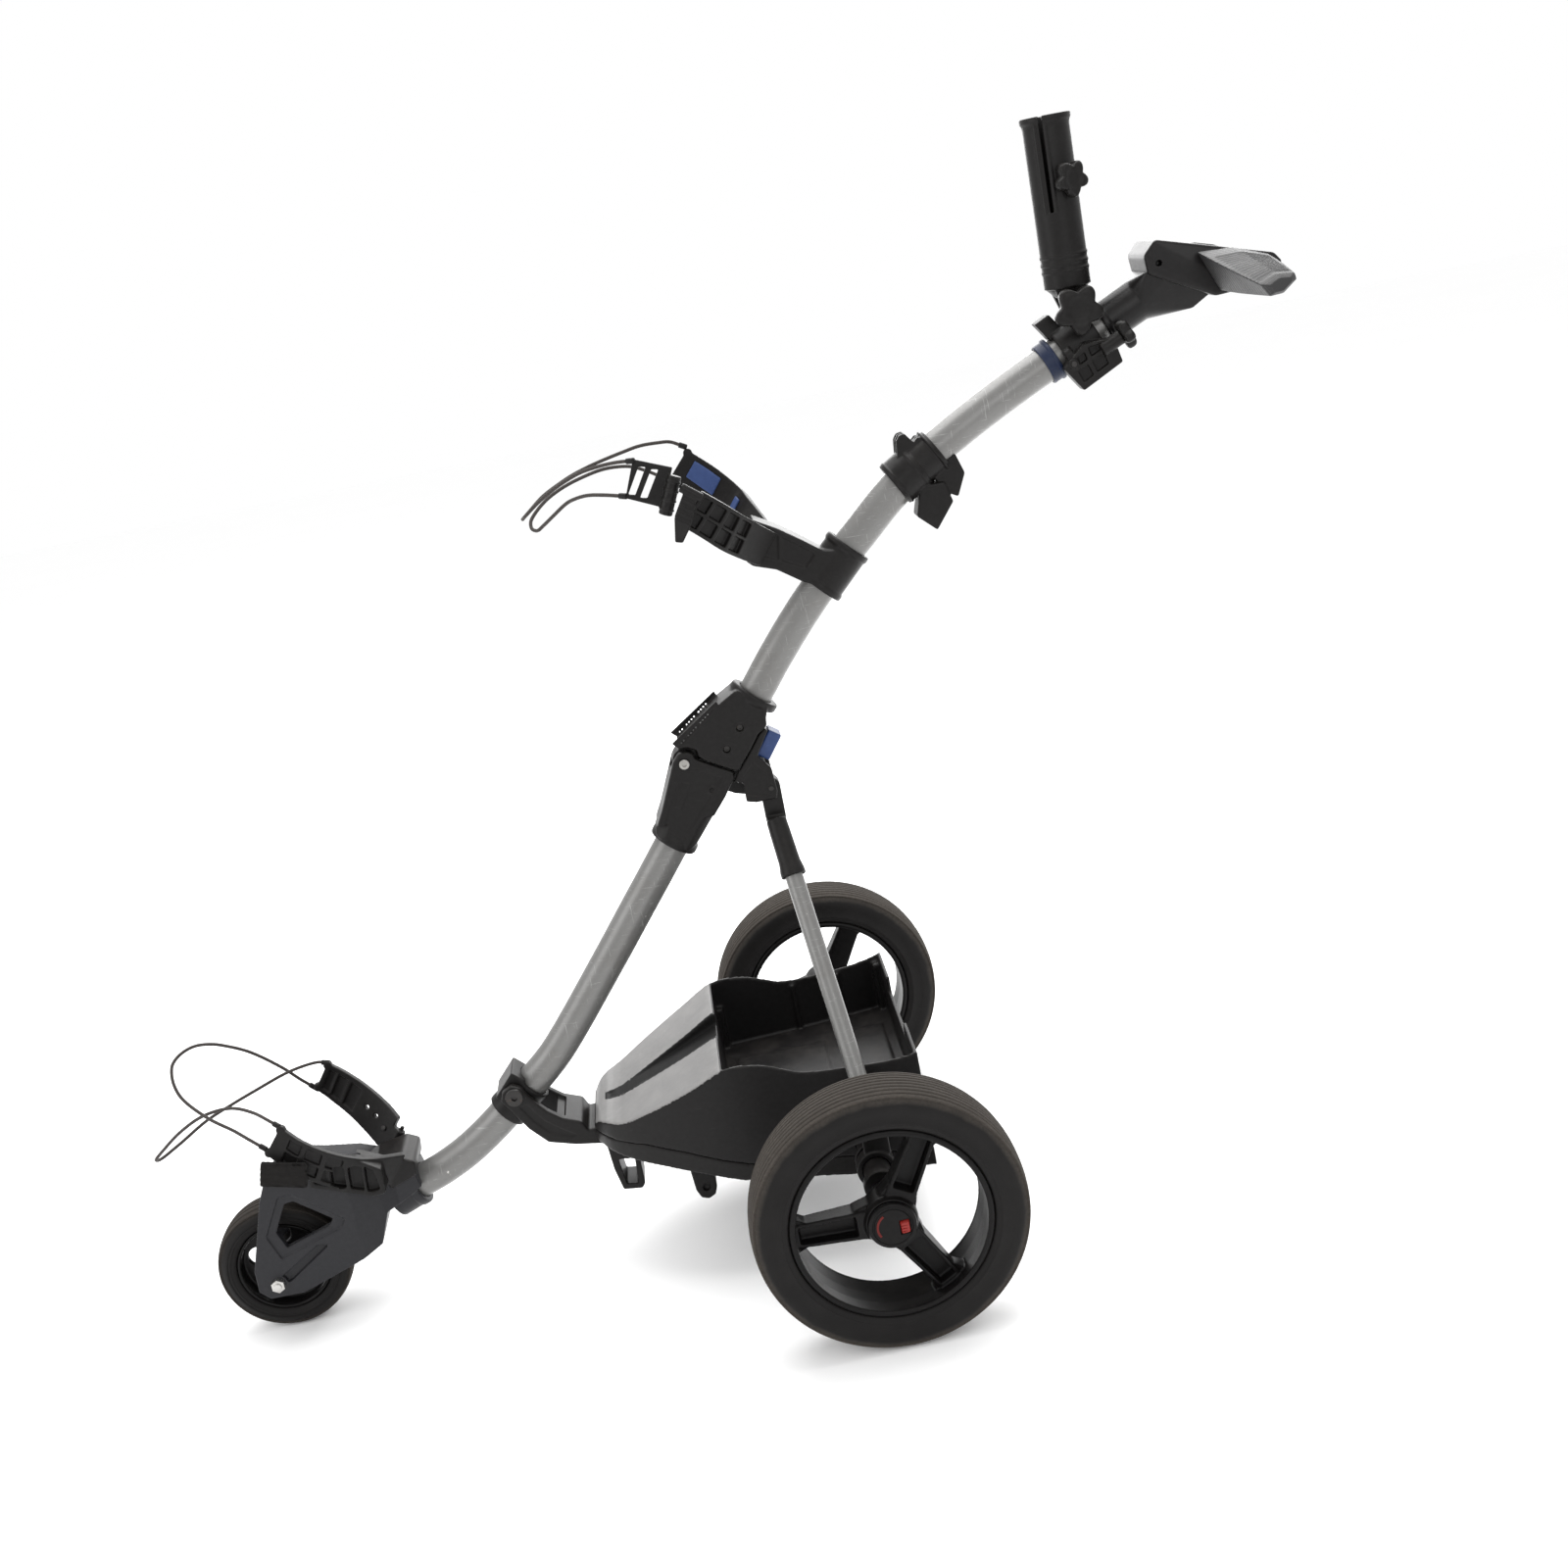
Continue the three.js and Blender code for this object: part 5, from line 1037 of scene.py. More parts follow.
# ------------------------------------------------------------------ drive unit and axles
h = union(box(-34,-38,104,26,30,153.5, 3.0), ycyl(0, 132.5, 20.8, 29, 96, 64, 2.0))
for i in range(7):
    h = union(h, ring([(20.5, 0), (22.0, 0), (22.0, 2.2), (20.5, 2.2)], (0, 38 + i * 8, 132.5), (0, 1, 0), 64))
h = cut(h, ycyl(0, 132.5, 6.6, -60, 120))
finish(mould(h, 1.0, 3, 0.3), "drive_unit", "drive_metal")
for side, s in (("left", -1), ("right", 1)):
    y0 = 38.4 if side == "left" else 96.4
    L = 226 - y0
    prof = [(6.9,0),(13.4,0),(13.4,L-16),(14.2,L-14.5),(17,L-10),(17,L-1),(16.2,L),(6.9,L)]
    h = ring(prof, (0, s * y0, 132.5), (0, s, 0), 64)
    if side == "left":
        h = union(h, ring([(13,0),(18.4,0),(19,0.6),(19,5.4),(18.4,6),(13,6)], (0,-165,132.5), (0,-1,0), 64))
    finish(h, "axle_tube_" + side, angle=0.6)
    finish(cyl((0, s * (2 if side == "left" else 3), 132.5), (0, s * 296, 132.5), 5.8, 48), "axle_shaft_" + side, "axle_steel", angle=0.6)
    c, ax = (0, s * WHEEL_Y, 132.5), (0, s, 0)
    finish(ring(tyre_profile(WHEEL_R, 30, 96.8, 8, 1.7, 0), c, ax, 192), "tyre_" + side, "tyre_rear", angle=0.75)
    # rim: barrel with rolled lips, hub and three channelled spokes
    rim = union(
        ring([(91,-25),(90.2,-27.4),(91.4,-28.6),(94.6,-28.6),(96.6,-27),(96.6,27),(94.6,28.6),(91.4,28.6),(90.2,27.4),(90.6,24),(92.4,8),(92.4,-8)], c, ax, 128),
        ring([(6.1,-24),(17,-24),(18,-23),(24,-8),(26,-4),(26,19),(24,24.5),(6.1,24.5)], c, ax, 72))
    for i in range(3):
        a = math.pi + i * 2 * math.pi / 3
        ca, sa = math.cos(a), math.sin(a)
        side2 = Vector((ca, 0, sa)).cross(Vector((0, s, 0)))
        pt = lambda r, w, d: (c[0] + ca * r + side2.x * w, c[1] + s * d, c[2] + sa * r + side2.z * w)
        w0, w1 = 14.5, 12.0
        spoke = hull([pt(20,-w0,-4), pt(20,w0,-4), pt(20,-w0,19), pt(20,w0,19), pt(93,-w1,-3), pt(93,w1,-3), pt(93,-w1,14), pt(93,w1,14)], 1.2)
        flare = hull([pt(78,-w1,-2), pt(78,w1,-2), pt(78,-w1,13), pt(78,w1,13), pt(93,-w1-9,-4), pt(93,w1+9,-4), pt(93,-w1-7,12), pt(93,w1+7,12)], 1.0)
        root = hull([pt(16,-w0-5,-4), pt(16,w0+5,-4), pt(16,-w0-5,15), pt(16,w0+5,15), pt(34,-w0,-4), pt(34,w0,-4), pt(34,-w0,15), pt(34,w0,15)], 1.0)
        sp3 = union(spoke, flare, root)
        sp3 = cut(sp3, hull([pt(33,-w0+4.2,5), pt(33,w0-4.2,5), pt(31,-w0+4.0,26), pt(31,w0-4.0,26), pt(86,-w1+3.6,4), pt(86,w1-3.6,4), pt(88,-w1+3.4,22), pt(88,w1-3.4,22)]),
                  cyl((c[0], c[1] - 40, c[2]), (c[0], c[1] + 40, c[2]), 12, 40))
        rim = union(rim, sp3)
    rim = cut(rim, ycyl(0, 132.5, 6.2, min(s * 230, s * 310), max(s * 230, s * 310)))
    rr = ring([(10,0),(22,0),(22,8),(10,8)], (0, s * 290.5, 132.5), ax, 64)
    rim = cut(rim, rr)
    finish(mould(rim, 1.0, 4, 0.3), "rim_" + side, "rim_plastic")
    cap = lathe([(0,296.8),(21.6,296.8),(22.8,297.4),(23.4,299),(22.6,301.2),(20.6,302.2),(19.4,302.4),(18.8,301.7),(17.8,301.7),(17.2,302.6),(8,303.4),(0,303.6)], (0,0,132.5), ax, 96)
    cap = union(cap, ycyl(0, 132.5, 9.5, min(s * 290.6, s * 298), max(s * 290.6, s * 298), 40))
    cap = cut(cap, box(6.0, min(s * 299.6, s * 320), 132.5 - 9.4, 16.6, max(s * 299.6, s * 320), 132.5 + 5.4, 0))
    cap = cut(cap, ycyl(0, 132.5, 6.0, min(s * 285, s * 297.5), max(s * 285, s * 297.5), 40))
    finish(cap, "hub_cap_" + side, "rim_plastic", angle=0.5)
    tab = hull([(6.6,s*300,123.7),(16.0,s*300,123.7),(6.6,s*300,137.3),(16.0,s*300,137.3),(7.6,s*306.3,125.5),(15.0,s*305.3,125.5),(7.6,s*306.3,135.5),(15.0,s*305.3,135.5)], 1.0)
    for k in (127.6, 130.5, 133.4):
        tab = cut(tab, box(6, min(s * 305.3, s * 310), k - 0.5, 17.5, max(s * 305.3, s * 310), k + 0.5))
    finish(tab, "release_tab_" + side, "red_plastic", angle=0.5)
    # small inlaid arc on the cap's face, where the real one has its printed ring
    arcs = [(15.4 * math.cos(a), 15.4 * math.sin(a)) for a in [2.1 + 1.6 * i / 24 for i in range(25)]] + [(13.4 * math.cos(a), 13.4 * math.sin(a)) for a in [3.7 - 1.6 * i / 24 for i in range(25)]]
    q = ext([(x, 132.5 + z) for x, z in arcs], min(s * 302.3, s * 303.4), max(s * 302.3, s * 303.4))
    extra(q, "hub_cap_" + side, "v_cap_arc_" + side, "red_dark")

# ------------------------------------------------------------------ lower cradle
lowNear = [[[-478,-29,177],[-500,-29,147]], [[-512,-52,192],[-529,-52,158]], [[-538,-68,212],[-556,-68,180]], [[-564,-72,234],[-583,-72,204]], [[-583,-66,252],[-604,-66,226]]]
lowFar = [[[-485,36,182],[-511,36,148]], [[-499,52,200],[-524,52,164]], [[-520,66,222],[-544,66,190]], [[-540,72,241],[-561,72,210]], [[-554.5,72,254],[-574,72,227]]]


def pocket(st, t, s0, s1, v0, v1, sign, depth):
    pts = []
    for s_ in (s0, (s0 + s1) / 2, s1):
        for v_ in (v0, v1):
            P, N, d, w = ribbon_at(st, s_, v_)
            pts += [tuple(P + N * sign * (t / 2 + 3)), tuple(P + N * sign * (t / 2 - depth))]
    return hull(pts)


def fork_clear():
    a = clip(ext(forkSide, -54.4, 54.4), extz([(-665,-54.4),(-540,-54.4),(-512,-40.4),(-496,-27.4),(-464,-27.4),(-464,27.4),(-496,27.4),(-512,40.4),(-540,54.4),(-665,54.4)], 40, 230))
    return cut(a, ext(crown, -42.6, 60))


def outward(st, y_sign):
    P, N, d, w = ribbon_at(st, 0.7, 0.5)
    return 1 if N.y * y_sign > 0 else -1


sg = outward(lowNear, -1)
h = ribbon(lowNear, 7, 6)
for s0, s1 in ((0.42, 0.54), (0.58, 0.70), (0.74, 0.86)):
    for v0, v1 in ((0.12, 0.46), (0.54, 0.88)):
        h = cut(h, pocket(lowNear, 7, s0, s1, v0, v1, sg, 3.8))
        h = cut(h, pocket(lowNear, 7, s0, s1, v0, v1, -sg, 1.6))
seat = ext([(-469,166),(-471,150),(-500,140),(-520,150),(-527,160),(-512,168),(-482,173)], -32, 30, 3.0)
wall = ext([(-500,152),(-514,152),(-573,176),(-568,206),(-520,196),(-498,180)], -62, -46, 1.2)
wall2 = ext([(-500,152),(-514,152),(-530,160),(-524,194),(-498,180)], -56, -28, 1.2)
h = union(h, seat, wall, wall2)
for q in ([(-504,158),(-513,157),(-517,158.6),(-514,187.5),(-506,181)], [(-520,160),(-533,165.6),(-530,191),(-517.5,188)],
          [(-537,167.6),(-550,172.6),(-547.5,196.5),(-533.5,192.6)], [(-554,174.4),(-568,180),(-565,201),(-551.5,197.4)]):
    h = cut(h, ext(q, -70, -55))
kn = (-497, 37, 164)
kA, kB = along(kn, BAG_UP, 20), along(kn, BAG_UP, -18)
h = union(h, cyl(along(kn, BAG_UP, 12.4), along(kn, BAG_UP, 18), 6.5, 40), cyl(along(kn, BAG_UP, -18), along(kn, BAG_UP, -12.4), 6.5, 40))
h = cut(h, cyl(along(kn, BAG_UP, -12.4), along(kn, BAG_UP, 12.4), 9, 40), cyl(kA, kB, 2.6, 32), fork_clear(), cyl(along(sock, frontDir, -8), along(sock, frontDir, 28), 24.4, 48), cyl(along(sock, frontDir, 20), along(sock, frontDir, 80), 24.4, 48))
# round bosses that the loops' ends go into
for v_, nm in ((0.93, "a"), (0.08, "b")):
    P, N, d, w = ribbon_at(lowNear, 0.985, v_)
    h = union(h, cyl(tuple(P - N * 3.6), tuple(P + N * 3.6), 4.6, 32, e=0.8))
finish(mould(h, 0.9, 3, 0.3), "lower_cradle_base")
sg = outward(lowFar, 1)
h = ribbon(lowFar, 7, 6)
for s0, s1, v0, v1 in ((0.50, 0.62, 0.15, 0.85), (0.66, 0.78, 0.15, 0.85), (0.82, 0.93, 0.15, 0.85)):
    h = cut(h, pocket(lowFar, 7, s0, s1, v0, v1, -sg, 2.0))
    h = cut(h, pocket(lowFar, 7, s0, s1, v0, v1, sg, 2.6))
for s_ in (0.30, 0.40):
    P, N, d, w = ribbon_at(lowFar, s_, 0.55)
    h = cut(h, cyl(tuple(P - N * 8), tuple(P + N * 8), 2.6, 24))
h = cut(h, cyl(along(kn, BAG_UP, 12), along(kn, BAG_UP, 30), 8.6, 40), cyl(along(kn, BAG_UP, -30), along(kn, BAG_UP, -12), 8.6, 40))
h = union(h, cyl(along(kn, BAG_UP, -12), along(kn, BAG_UP, 12), 5.6, 40), cyl(along(kn, BAG_UP, -17), along(kn, BAG_UP, 17), 2.2, 32))
for v_ in (0.93, 0.08):
    P, N, d, w = ribbon_at(lowFar, 0.985, v_)
    h = union(h, cyl(tuple(P - N * 3.6), tuple(P + N * 3.6), 4.6, 32, e=0.8))
h = cut(h, fork_clear(), ext([(-468.6,166.3),(-470.6,149.6),(-500,139.6),(-520.4,149.8),(-527.4,160.2),(-512,168.4),(-481.8,173.4)], -32, 30.3))
finish(mould(h, 0.8, 3, 0.35), "lower_arm_far")
# link screw at the far arm's foot
P, N, d, w = ribbon_at(lowFar, 0.16, 0.5)
q = cyl(tuple(P - N * 5.2), tuple(P + N * 5.2), 3.2, 32, e=0.8)
extra(q, "lower_arm_far", "v_far_arm_screw", "dark_steel")
# the strap lever: a dark fuzzy webbing wrapped on a flat lever
h = hull([(-564,-77.2,213),(-564,-83.4,213),(-570,-77.2,187),(-570,-83.4,187),(-608,-78.2,225),(-608,-85.4,225),(-615,-78.2,200),(-615,-85.4,200)], 1.8)
sub = h.modifiers.new("s", "SUBSURF")
sub.subdivision_type = "SIMPLE"
sub.levels = sub.render_levels = 4
me = deps_mesh(h)
h.modifiers.clear()
h.data = me
for v in me.vertices:
    n3 = noise.noise_vector(v.co * 260)
    v.co += Vector(v.normal) * (0.0006 * n3.x)
finish(h, "lower_cam_lever", "strap")

# ferrules at the ends of the four loops
for nm, pts in CORDS.items():
    for e_, (p0, p1) in enumerate(((pts[0], pts[1]), (pts[-1], pts[-2]))):
        t_ = unit([p1[i] - p0[i] for i in range(3)])
        extra(cyl(along(p0, t_, -4.5), along(p0, t_, 4.0), 2.9, 28, e=0.8), nm, "v_ferrule_%s_%d" % (nm, e_), "black_plastic")

# ------------------------------------------------------------------ upper cradle
upNear = [[[26,-26,742],[4,-26,714]], [[8,-52,760],[-14,-52,729]], [[-6,-74,775],[-30,-74,744]], [[-20,-85,789],[-46,-85,761]], [[-36,-88,803],[-62,-88,776]]]
upFar = [[[26,26,742],[4,26,714]], [[14,52,764],[-10,52,732]], [[8,74,774],[-16,74,744]], [[-12,84,798],[-36,84,768]], [[-39.5,86,824],[-64,86,797]]]
sg = outward(upNear, -1)
h = ribbon(upNear, 7, 6)
for s0, s1 in ((0.30, 0.44), (0.48, 0.62), (0.66, 0.80), (0.84, 0.95)):
    for v0, v1 in ((0.10, 0.46), (0.54, 0.90)):
        h = cut(h, pocket(upNear, 7, s0, s1, v0, v1, sg, 4.6))
P, N, d, w = ribbon_at(upNear, 0.985, 0.5)
finish(mould(h, 0.75, 3, 0.35), "upper_arm_near")
sg = outward(upFar, 1)
h = ribbon(upFar, 7, 6)
for s0, s1 in ((0.28, 0.40), (0.44, 0.56), (0.60, 0.72), (0.76, 0.92)):
    h = cut(h, pocket(upFar, 7, s0, s1, 0.12, 0.88, sg, 4.2))
for v_ in (0.93, 0.08):
    P, N, d, w = ribbon_at(upFar, 0.985, v_)
    h = union(h, cyl(tuple(P - N * 3.6), tuple(P + N * 3.6), 4.6, 32, e=0.8))
finish(mould(h, 0.75, 3, 0.35), "upper_arm_far")
# blue soft pads on the inner faces of the far arm
for nm, s0, s1, v0, v1 in (("a", 0.70, 0.92, 0.36, 0.86), ("b", 0.42, 0.52, 0.40, 0.78)):
    pts = []
    for s_ in (s0, (s0 + s1) / 2, s1):
        for v_ in (v0, v1):
            P, N, d, w = ribbon_at(upFar, s_, v_)
            N = N * (-sg)
            pts += [tuple(P + N * 3.0), tuple(P + N * 5.4)]
    q = mould(hull(pts, 0.8), 0.6, 4, 0.35)
    extra(q, "upper_arm_far", "v_blue_pad_" + nm, "blue_plastic")
upTan = unit((37, 0, 36))
h = union(cyl(along((79,0,692.5), upTan, -24), along((79,0,692.5), upTan, 26), 23, 64, e=1.5),
          ext([(8,757),(30,744),(52,728),(70,714),(98,708),(66,676),(44,688),(22,704),(0,712),(-6,718)], -21, 21, 2.0),
          ring([(18.4,20),(23.8,20),(24.4,21),(24.4,25),(23.6,26.5),(18.4,26.5)], (79,0,692.5), upTan, 64),
          ring([(18.4,-25),(23.8,-25),(24.4,-24),(24.4,-20),(23.6,-19),(18.4,-19)], (79,0,692.5), upTan, 64))
for s in (-1, 1):
    h = cut(h, ext([(12,748),(30,737),(50,722),(62,712),(50,700),(28,712),(6,722)], min(s * 19.2, s * 30), max(s * 19.2, s * 30)))
    h = union(h, ext([(30,738),(33,736),(29,712),(26,713.5)], min(s * 17, s * 20.6), max(s * 17, s * 20.6)))
h = cut(h, bore(upperLine, 18.1), ribbon(upNear, 7.6, 6), ribbon(upFar, 7.6, 6))
finish(mould(h, 0.9, 3, 0.3), "upper_cradle_bracket")

h = hull([(-93,-86.4,844),(-93,-82.8,844),(-107,-86.4,810),(-107,-82.8,810),(-58.5,-86.4,829.5),(-58.5,-82.8,829.5),(-74.5,-86.4,794.5),(-74.5,-82.8,794.5)], 0.7)
for f in (0.24, 0.62):
    a, b = (-93 + 29 * f, 844 - 12 * f), (-107 + 27 * f, 810 - 13 * f)
    h = cut(h, ext([(a[0]-3.2,a[1]-5),(a[0]+3.2,a[1]-6.5),(b[0]+3.2,b[1]+4.5),(b[0]-3.2,b[1]+6)], -90, -80))
h = union(h, cyl((-58,-88,822), (-74,-88,788), 6.5, 40, e=1.2))
for k in (0.15, 0.38, 0.62, 0.85):
    cc = Vector((-58,-88,822)).lerp(Vector((-74,-88,788)), k)
    h = union(h, ring([(6.2,-1.0),(7.4,-0.8),(7.4,0.8),(6.2,1.0)], tuple(cc), (-16,0,-34), 40))
h = cut(h, ribbon(upNear, 7.6, 6))
finish(mould(h, 0.6, 2, 0.35), "upper_ladder")
h = union(cyl((-55,-100,812), (-38,-100,798.2), 4.5, 40, e=1.0),
          hull([(-50,-96,812),(-50,-103,812),(-40,-96,804),(-40,-103,804),(-66,-97,786),(-66,-103,786),(-52,-97,776),(-52,-103,776)], 1.2),
          hull([(-66,-97,786),(-66,-103,786),(-52,-97,776),(-52,-103,776),(-70,-104,764),(-70,-108,764),(-63,-104,762),(-63,-108,762)], 1.2))
for k in range(4):
    f = 0.2 + 0.2 * k
    a = Vector((-45,-103,808)).lerp(Vector((-59,-103,781)), f)
    h = union(h, cyl((a.x - 6, a.y - 0.2, a.z + 4.5), (a.x + 6, a.y - 0.2, a.z - 4.5), 0.9, 16))
finish(mould(h, 0.6, 2, 0.4), "upper_cam_lever")

# ------------------------------------------------------------------ shaft accessories
d8 = tang(8)
A0 = (182, 0, 777)
h = union(cyl(along(A0, d8, -34), along(A0, d8, -4), 23.5, 64, e=1.4), cyl(along(A0, d8, -6), along(A0, d8, 20), 22, 64, e=1.2),
          ext([(176,756),(168,727),(186,710),(206,735),(200,756)], -15, 12, 1.8), ext([(186,770),(200,745),(212,738),(222,760),(214,784)], -12, 12, 1.8))
for y in (-12.4, -2.1, 8.3):
    h = union(h, ext([(158,780),(160,803),(163.5,808),(169,809),(173.5,803),(177,799),(181,803),(184,802),(191,795),(187,779)], y, y + 5, 0.9))
h = cut(h, bore(upperLine, 18.1))
for t_ in (-30, -8, 16):
    h = union(h, ring([(18.4,-1.2),(24.2,-1.0),(24.6,0),(24.2,1.0),(18.4,1.2)], along(A0, d8, t_), d8, 64))
finish(mould(h, 0.75, 3, 0.28), "accessory_clamp")
d11 = tang(11)
B0 = (322, 0, 848.3)
h = ring([(18.4,-7),(20.0,-7),(20.6,-6.2),(20.6,1.5),(21.4,2.4),(22.0,3),(22.0,5.4),(21.4,6),(18.4,6)], B0, d11, 80)
finish(h, "shaft_collar_blue", "navy_plastic", angle=0.6)

du = tang(12)
um = (350, 0, 860.3)
h = union(cyl(along(um, du, -18), along(um, du, 20), 25, 64, e=1.6),
          ext([(336,866),(341,890),(359,890),(364,878)], -8, 8, 0.8), ycyl(*TILT, 8, -8, 8),
          ext([(311,886),(326,893),(336,880),(334,868),(324,868)], -9, 9, 1.2),
          ext([(328,842),(345,818),(386,838),(380,862),(350,862)], -34, -16, 1.5))
h = union(h, cyl((333,-25,852), (340,-25,855), 6.5, 40, e=0.8), ycyl(338, 845, 5.2, -36, -15, 40, 0.8))
h = cut(h, bore(upperLine, 18.1), ycyl(*TILT, 3.6, -30, 30))
for q in ([(346,826),(356,831),(352,842),(341,838)], [(360,833),(372,839),(368,850),(356,845)], [(344,843),(352,846.6),(350,854),(343,851)], [(356,848.6),(368,854),(366,859),(354,858)]):
    h = cut(h, ext(q, -40, -30))
h = union(h, cyl(along((366,-36.5,853), du, 0), along((366,-36.5,853), du, 22), 7, 40, e=0.8))
h = cut(h, bore(upperLine, 18.1), cyl(along(B0, d11, -12), along(B0, d11, 7.2), 24, 48), box(330,-15.2,885,372,-8.2,930), box(330,8.2,885,372,15.2,930),
        ycyl(*TILT, 9, -15.2, -8.2), ycyl(*TILT, 9, 8.2, 15.2), box(300,-9.5,896.5,341,9.5,930), cyl(along((366,-36.5,853), du, 8), along((366,-36.5,853), du, 40), 3.4, 32))
finish(mould(h, 0.75, 3, 0.28), "umbrella_clamp")
q = cyl((338,-37,845), (338,-35,845), 2.8, 24, e=0.5)
extra(q, "umbrella_clamp", "v_clamp_pin", "dark_steel")
kc = along((366,-36.5,853), du, 22.4)
h = union(star(kc, du, 15.0, 10), cyl(along(kc, du, -12), along(kc, du, 1), 3.0, 32))
finish(h, "umbrella_clamp_knob", angle=0.9)

h = union(ring([(18.6,-2),(22.2,-2),(22.4,-1.6),(22.4,146),(23.0,149),(24.4,151.5),(24.4,155.4),(23.8,156),(19.4,156),(18.6,155.2)], (350,0,917), (0,0,1), 96),
          lathe([(0,0),(12,0),(13,0.8),(20,8),(21.8,16),(0,16)], (350,0,906), (0,0,1), 72))
for a, b in ((-14.5, -8.5), (8.5, 14.5)):
    h = union(h, ext([(342,894),(358,894),(366,916),(334,916)], a, b, 0.6), ycyl(*TILT, 8, a, b, 48, 0.6))
kd = unit((0.36, -0.93, 0))
knc = (350 + kd[0] * 24, kd[1] * 24, 1013)
h = union(h, cyl((350 + kd[0] * 19.5, kd[1] * 19.5, 1013), knc, 7, 40, e=0.5))
# rings round the lower body and a flat pad beside the slot
for z in (931, 938, 945):
    h = union(h, ring([(22,-1.1),(23.2,-0.9),(23.2,0.9),(22,1.1)], (350,0,z), (0,0,1), 96))
sd_ = unit((-0.45, -0.89, 0))
sx = unit((0.89, -0.45, 0))
for k in (-5.2, 5.2):
    o_ = (350 + sd_[0] * 21.2 + sx[0] * k, sd_[1] * 21.2 + sx[1] * k, 0)
    h = union(h, hull([(o_[0] + sx[0] * a_ + sd_[0] * b_, o_[1] + sx[1] * a_ + sd_[1] * b_, z_) for a_ in (-0.9, 0.9) for b_ in (-2, 1.7) for z_ in (986, 1066)]))
h = cut(h, box(339.4, -30, 985, 342.2, -10, 1090), ycyl(*TILT, 3.6, -30, 30), cyl(along((350,0,1013), kd, 10), along((350,0,1013), kd, 40), 3.4, 32))
finish(mould(h, 0.8, 3, 0.3), "umbrella_holder")
kk = (350 + kd[0] * 24.4, kd[1] * 24.4, 1013)
h = union(star(kk, kd, 17.5, 12), cyl(along(kk, kd, -10), along(kk, kd, 1), 3.0, 32))
finish(h, "umbrella_tube_knob", angle=0.9)
h = union(star((TILT[0], -25.8, TILT[1]), (0, -1, 0), 24.5, 14), cyl((TILT[0], 14.2, TILT[1]), (TILT[0], -26.5, TILT[1]), 3.1, 32))
finish(h, "umbrella_tilt_knob", angle=0.9)

# ------------------------------------------------------------------ handle
dn = tang(13)


def ring_pts(c, d, r, k=32):
    X, Y, Z = basis(d)
    return [tuple(Vector(c) + X * (r * math.cos(2 * math.pi * i / k)) + Y * (r * math.sin(2 * math.pi * i / k))) for i in range(k)]


h = union(hull(ring_pts((378,0,873), dn, 20.6) + ring_pts((418,0,891), dn, 20.8)),
          hull(ring_pts((414,0,889), dn, 20.8) + [(421,-27,916),(421,27,916),(440,-31,907),(440,31,907),(481,-33,887),(481,33,887),(462,-24,874),(462,24,874)]),
          ring([(18.4,0),(21.6,0),(22.2,0.8),(22.2,5.2),(21.4,6),(18.4,6)], (377,0,872.5), dn, 64))
h = cut(h, bore(upperLine, 18.1))
finish(mould(h, 0.9, 6, 0.3), "handle_neck", "handle_plastic")
HN = unit((32, 0, 110))
HT = (486, 0, 927.7)
h = hull([(431,-34,944),(431,34,944),(540,-44,912),(540,44,912),(419,-32,931),(419,32,931),(421.2,-30,913),(421.2,30,913),(480.4,-42,882.2),(480.4,42,882.2),(506,-46,884),(506,46,884),(547,-46,902),(547,46,902)], 2.5)
h = cut(h, cyl(along(HT, HN, -7), along(HT, HN, 12), 13.4, 64))
h = union(h, ring([(13.4,-1),(16.6,-1),(17.2,0.4),(16.8,1.2),(14.2,1.2),(13.4,0.6)], HT, HN, 64))
for s in (-1, 1):
    h = cut(h, cyl((432, s * 26, 922), (432, s * 40, 922), 3.0, 32))
finish(mould(h, 0.9, 4, 0.3), "handle_head", "handle_plastic")
h = lathe([(0,-6.6),(12.6,-6.6),(13.0,-6),(13.0,0.6),(12.4,1.5),(11.6,1.9),(10.8,1.7),(9.6,0.9),(0,0.7)], HT, HN, 96)
h = union(h, hull([tuple(Vector(HT) + basis(HN)[0] * a + basis(HN)[1] * b + basis(HN)[2] * c) for a in (-10, 10) for b in (-1.6, 1.6) for c in (0.2, 2.3)], 0.5))
finish(h, "speed_dial", "black_plastic", angle=0.6)
gA = [(466,926),(500,924),(533,912),(539,903),(520,890),(484,887)]
gB = [(474,896),(488,903),(503.5,901.5),(504.5,896),(492,886.5),(481,886)]
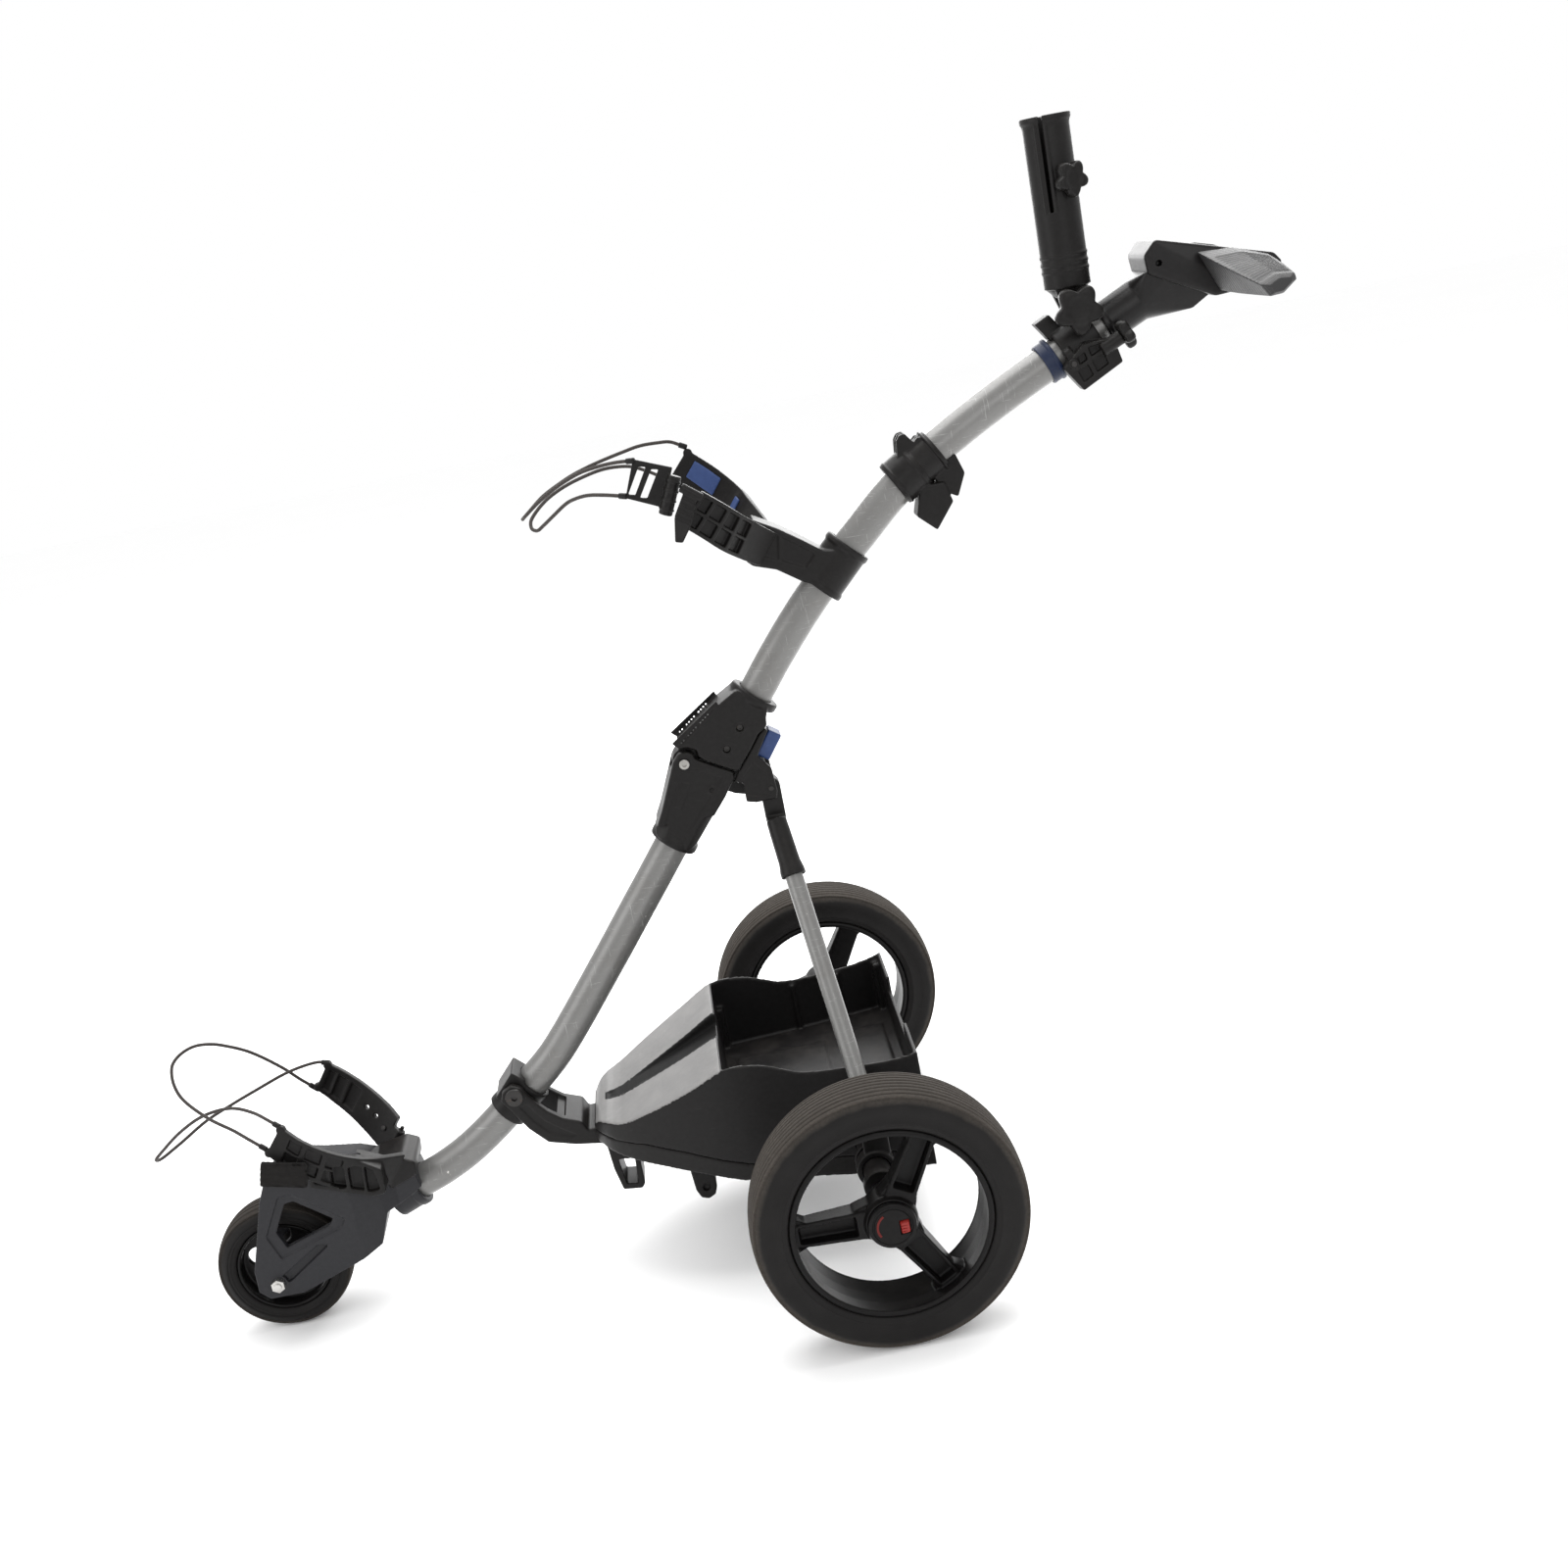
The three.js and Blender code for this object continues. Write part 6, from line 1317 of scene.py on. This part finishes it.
for side, s in (("left", -1), ("right", 1)):
    st, n = [], 26
    for i in range(n + 1):
        t = i / n
        # slight belly along the grip, and a rounded end
        y = 44 + 156 * t
        e = 1.0 if t < 0.965 else math.sqrt(max(0.0, 1 - ((t - 0.965) / 0.035) ** 2)) * 0.35 + 0.65
        bel = 1 + 0.05 * math.sin(math.pi * t)
        ca_ = [((1 - t) * a[0] + t * b[0], (1 - t) * a[1] + t * b[1]) for a, b in zip(gA, gB)]
        mx, mz = sum(q[0] for q in ca_) / 6, sum(q[1] for q in ca_) / 6
        st.append([(mx + (x - mx) * e * bel, s * y, mz + (z - mz) * e * bel) for x, z in ca_])
    verts = [v for r0 in st for v in r0]
    faces = [tuple(range(6)), tuple(6 * n + q for q in (5, 4, 3, 2, 1, 0))]
    for i in range(n):
        for j in range(6):
            k = (j + 1) % 6
            faces.append((6 * i + j, 6 * i + k, 6 * i + 6 + k, 6 * i + 6 + j))
    g_ = bevelled(obj(verts, faces), 0)
    clear = hull([(430,-34.6,946),(430,34.6,946),(541,-44.5,914),(541,44.5,914),(418,-32.5,931),(418,32.5,931),(421,-30.5,912),(421,30.5,912),(480,-42.5,880),(480,42.5,880),(506.5,-46.5,882),(506.5,46.5,882),(549,-46.5,902),(549,46.5,902)])
    g_ = cut(g_, clear)
    # ribs across the top, where the palm lies
    for i in range(15):
        y = 78 + i * 7.2
        t = (y - 44) / 156
        a0, a1, a2 = [Vector(((1 - t) * gA[q][0] + t * gB[q][0], s * y, (1 - t) * gA[q][1] + t * gB[q][1])) for q in (0, 1, 2)]
        g_ = union(g_, cyl(tuple(a0.lerp(a1, 0.15)), tuple(a1), 1.5, 12), cyl(tuple(a1), tuple(a1.lerp(a2, 0.85)), 1.5, 12))
    g_ = mould(g_, 0.9, 3, 0.3)
    finish(g_, "grip_" + side)

# ------------------------------------------------------------------ floor and light
me = bpy.data.meshes.new("floor")
n = 24
verts, faces = [], []
for j in range(n + 1):
    for i in range(n + 1):
        verts.append((-9 + 18 * i / n, -6 + 15 * j / n, -0.0006))
for j in range(n):
    for i in range(n):
        a = j * (n + 1) + i
        faces.append((a, a + 1, a + n + 2, a + n + 1))
me.from_pydata(verts, [], faces)
floor = bpy.data.objects.new("floor", me)
bpy.context.scene.collection.objects.link(floor)
k = Nodes("floor")
k.link(k.mix(k.noise(3, 3, 0.5), (0.985, 0.985, 0.985), (1.0, 1.0, 1.0)), k.b.inputs["Base Color"])
k.b.inputs["Roughness"].default_value = 0.85
me.materials.append(k.m)

world = bpy.data.worlds.new("world")
bpy.context.scene.world = world
world.use_nodes = True
bg = world.node_tree.nodes["Background"]
bg.inputs[0].default_value = (1, 1, 1, 1)
bg.inputs[1].default_value = 1.0
bpy.context.scene.view_settings.view_transform = "Standard"


def area(name, loc, target, size, power, col=(1, 1, 1)):
    L = bpy.data.lights.new(name, "AREA")
    L.shape = "RECTANGLE"
    L.size, L.size_y = size
    L.energy = power
    L.color = col
    o = bpy.data.objects.new(name, L)
    o.location = loc
    d = Vector(target) - Vector(loc)
    o.rotation_euler = d.to_track_quat("-Z", "Y").to_euler()
    bpy.context.scene.collection.objects.link(o)


area("top", (0.2, 0.5, 2.6), (0, 0, 0.4), (2.2, 2.2), 60)
area("back", (0.6, 2.4, 1.4), (0, 0, 0.5), (2.4, 1.6), 45)
area("left", (-2.2, -0.8, 1.3), (-0.2, 0, 0.4), (1.4, 1.4), 14)
area("front", (0.8, -2.6, 1.6), (0.1, 0, 0.4), (1.6, 1.2), 10)
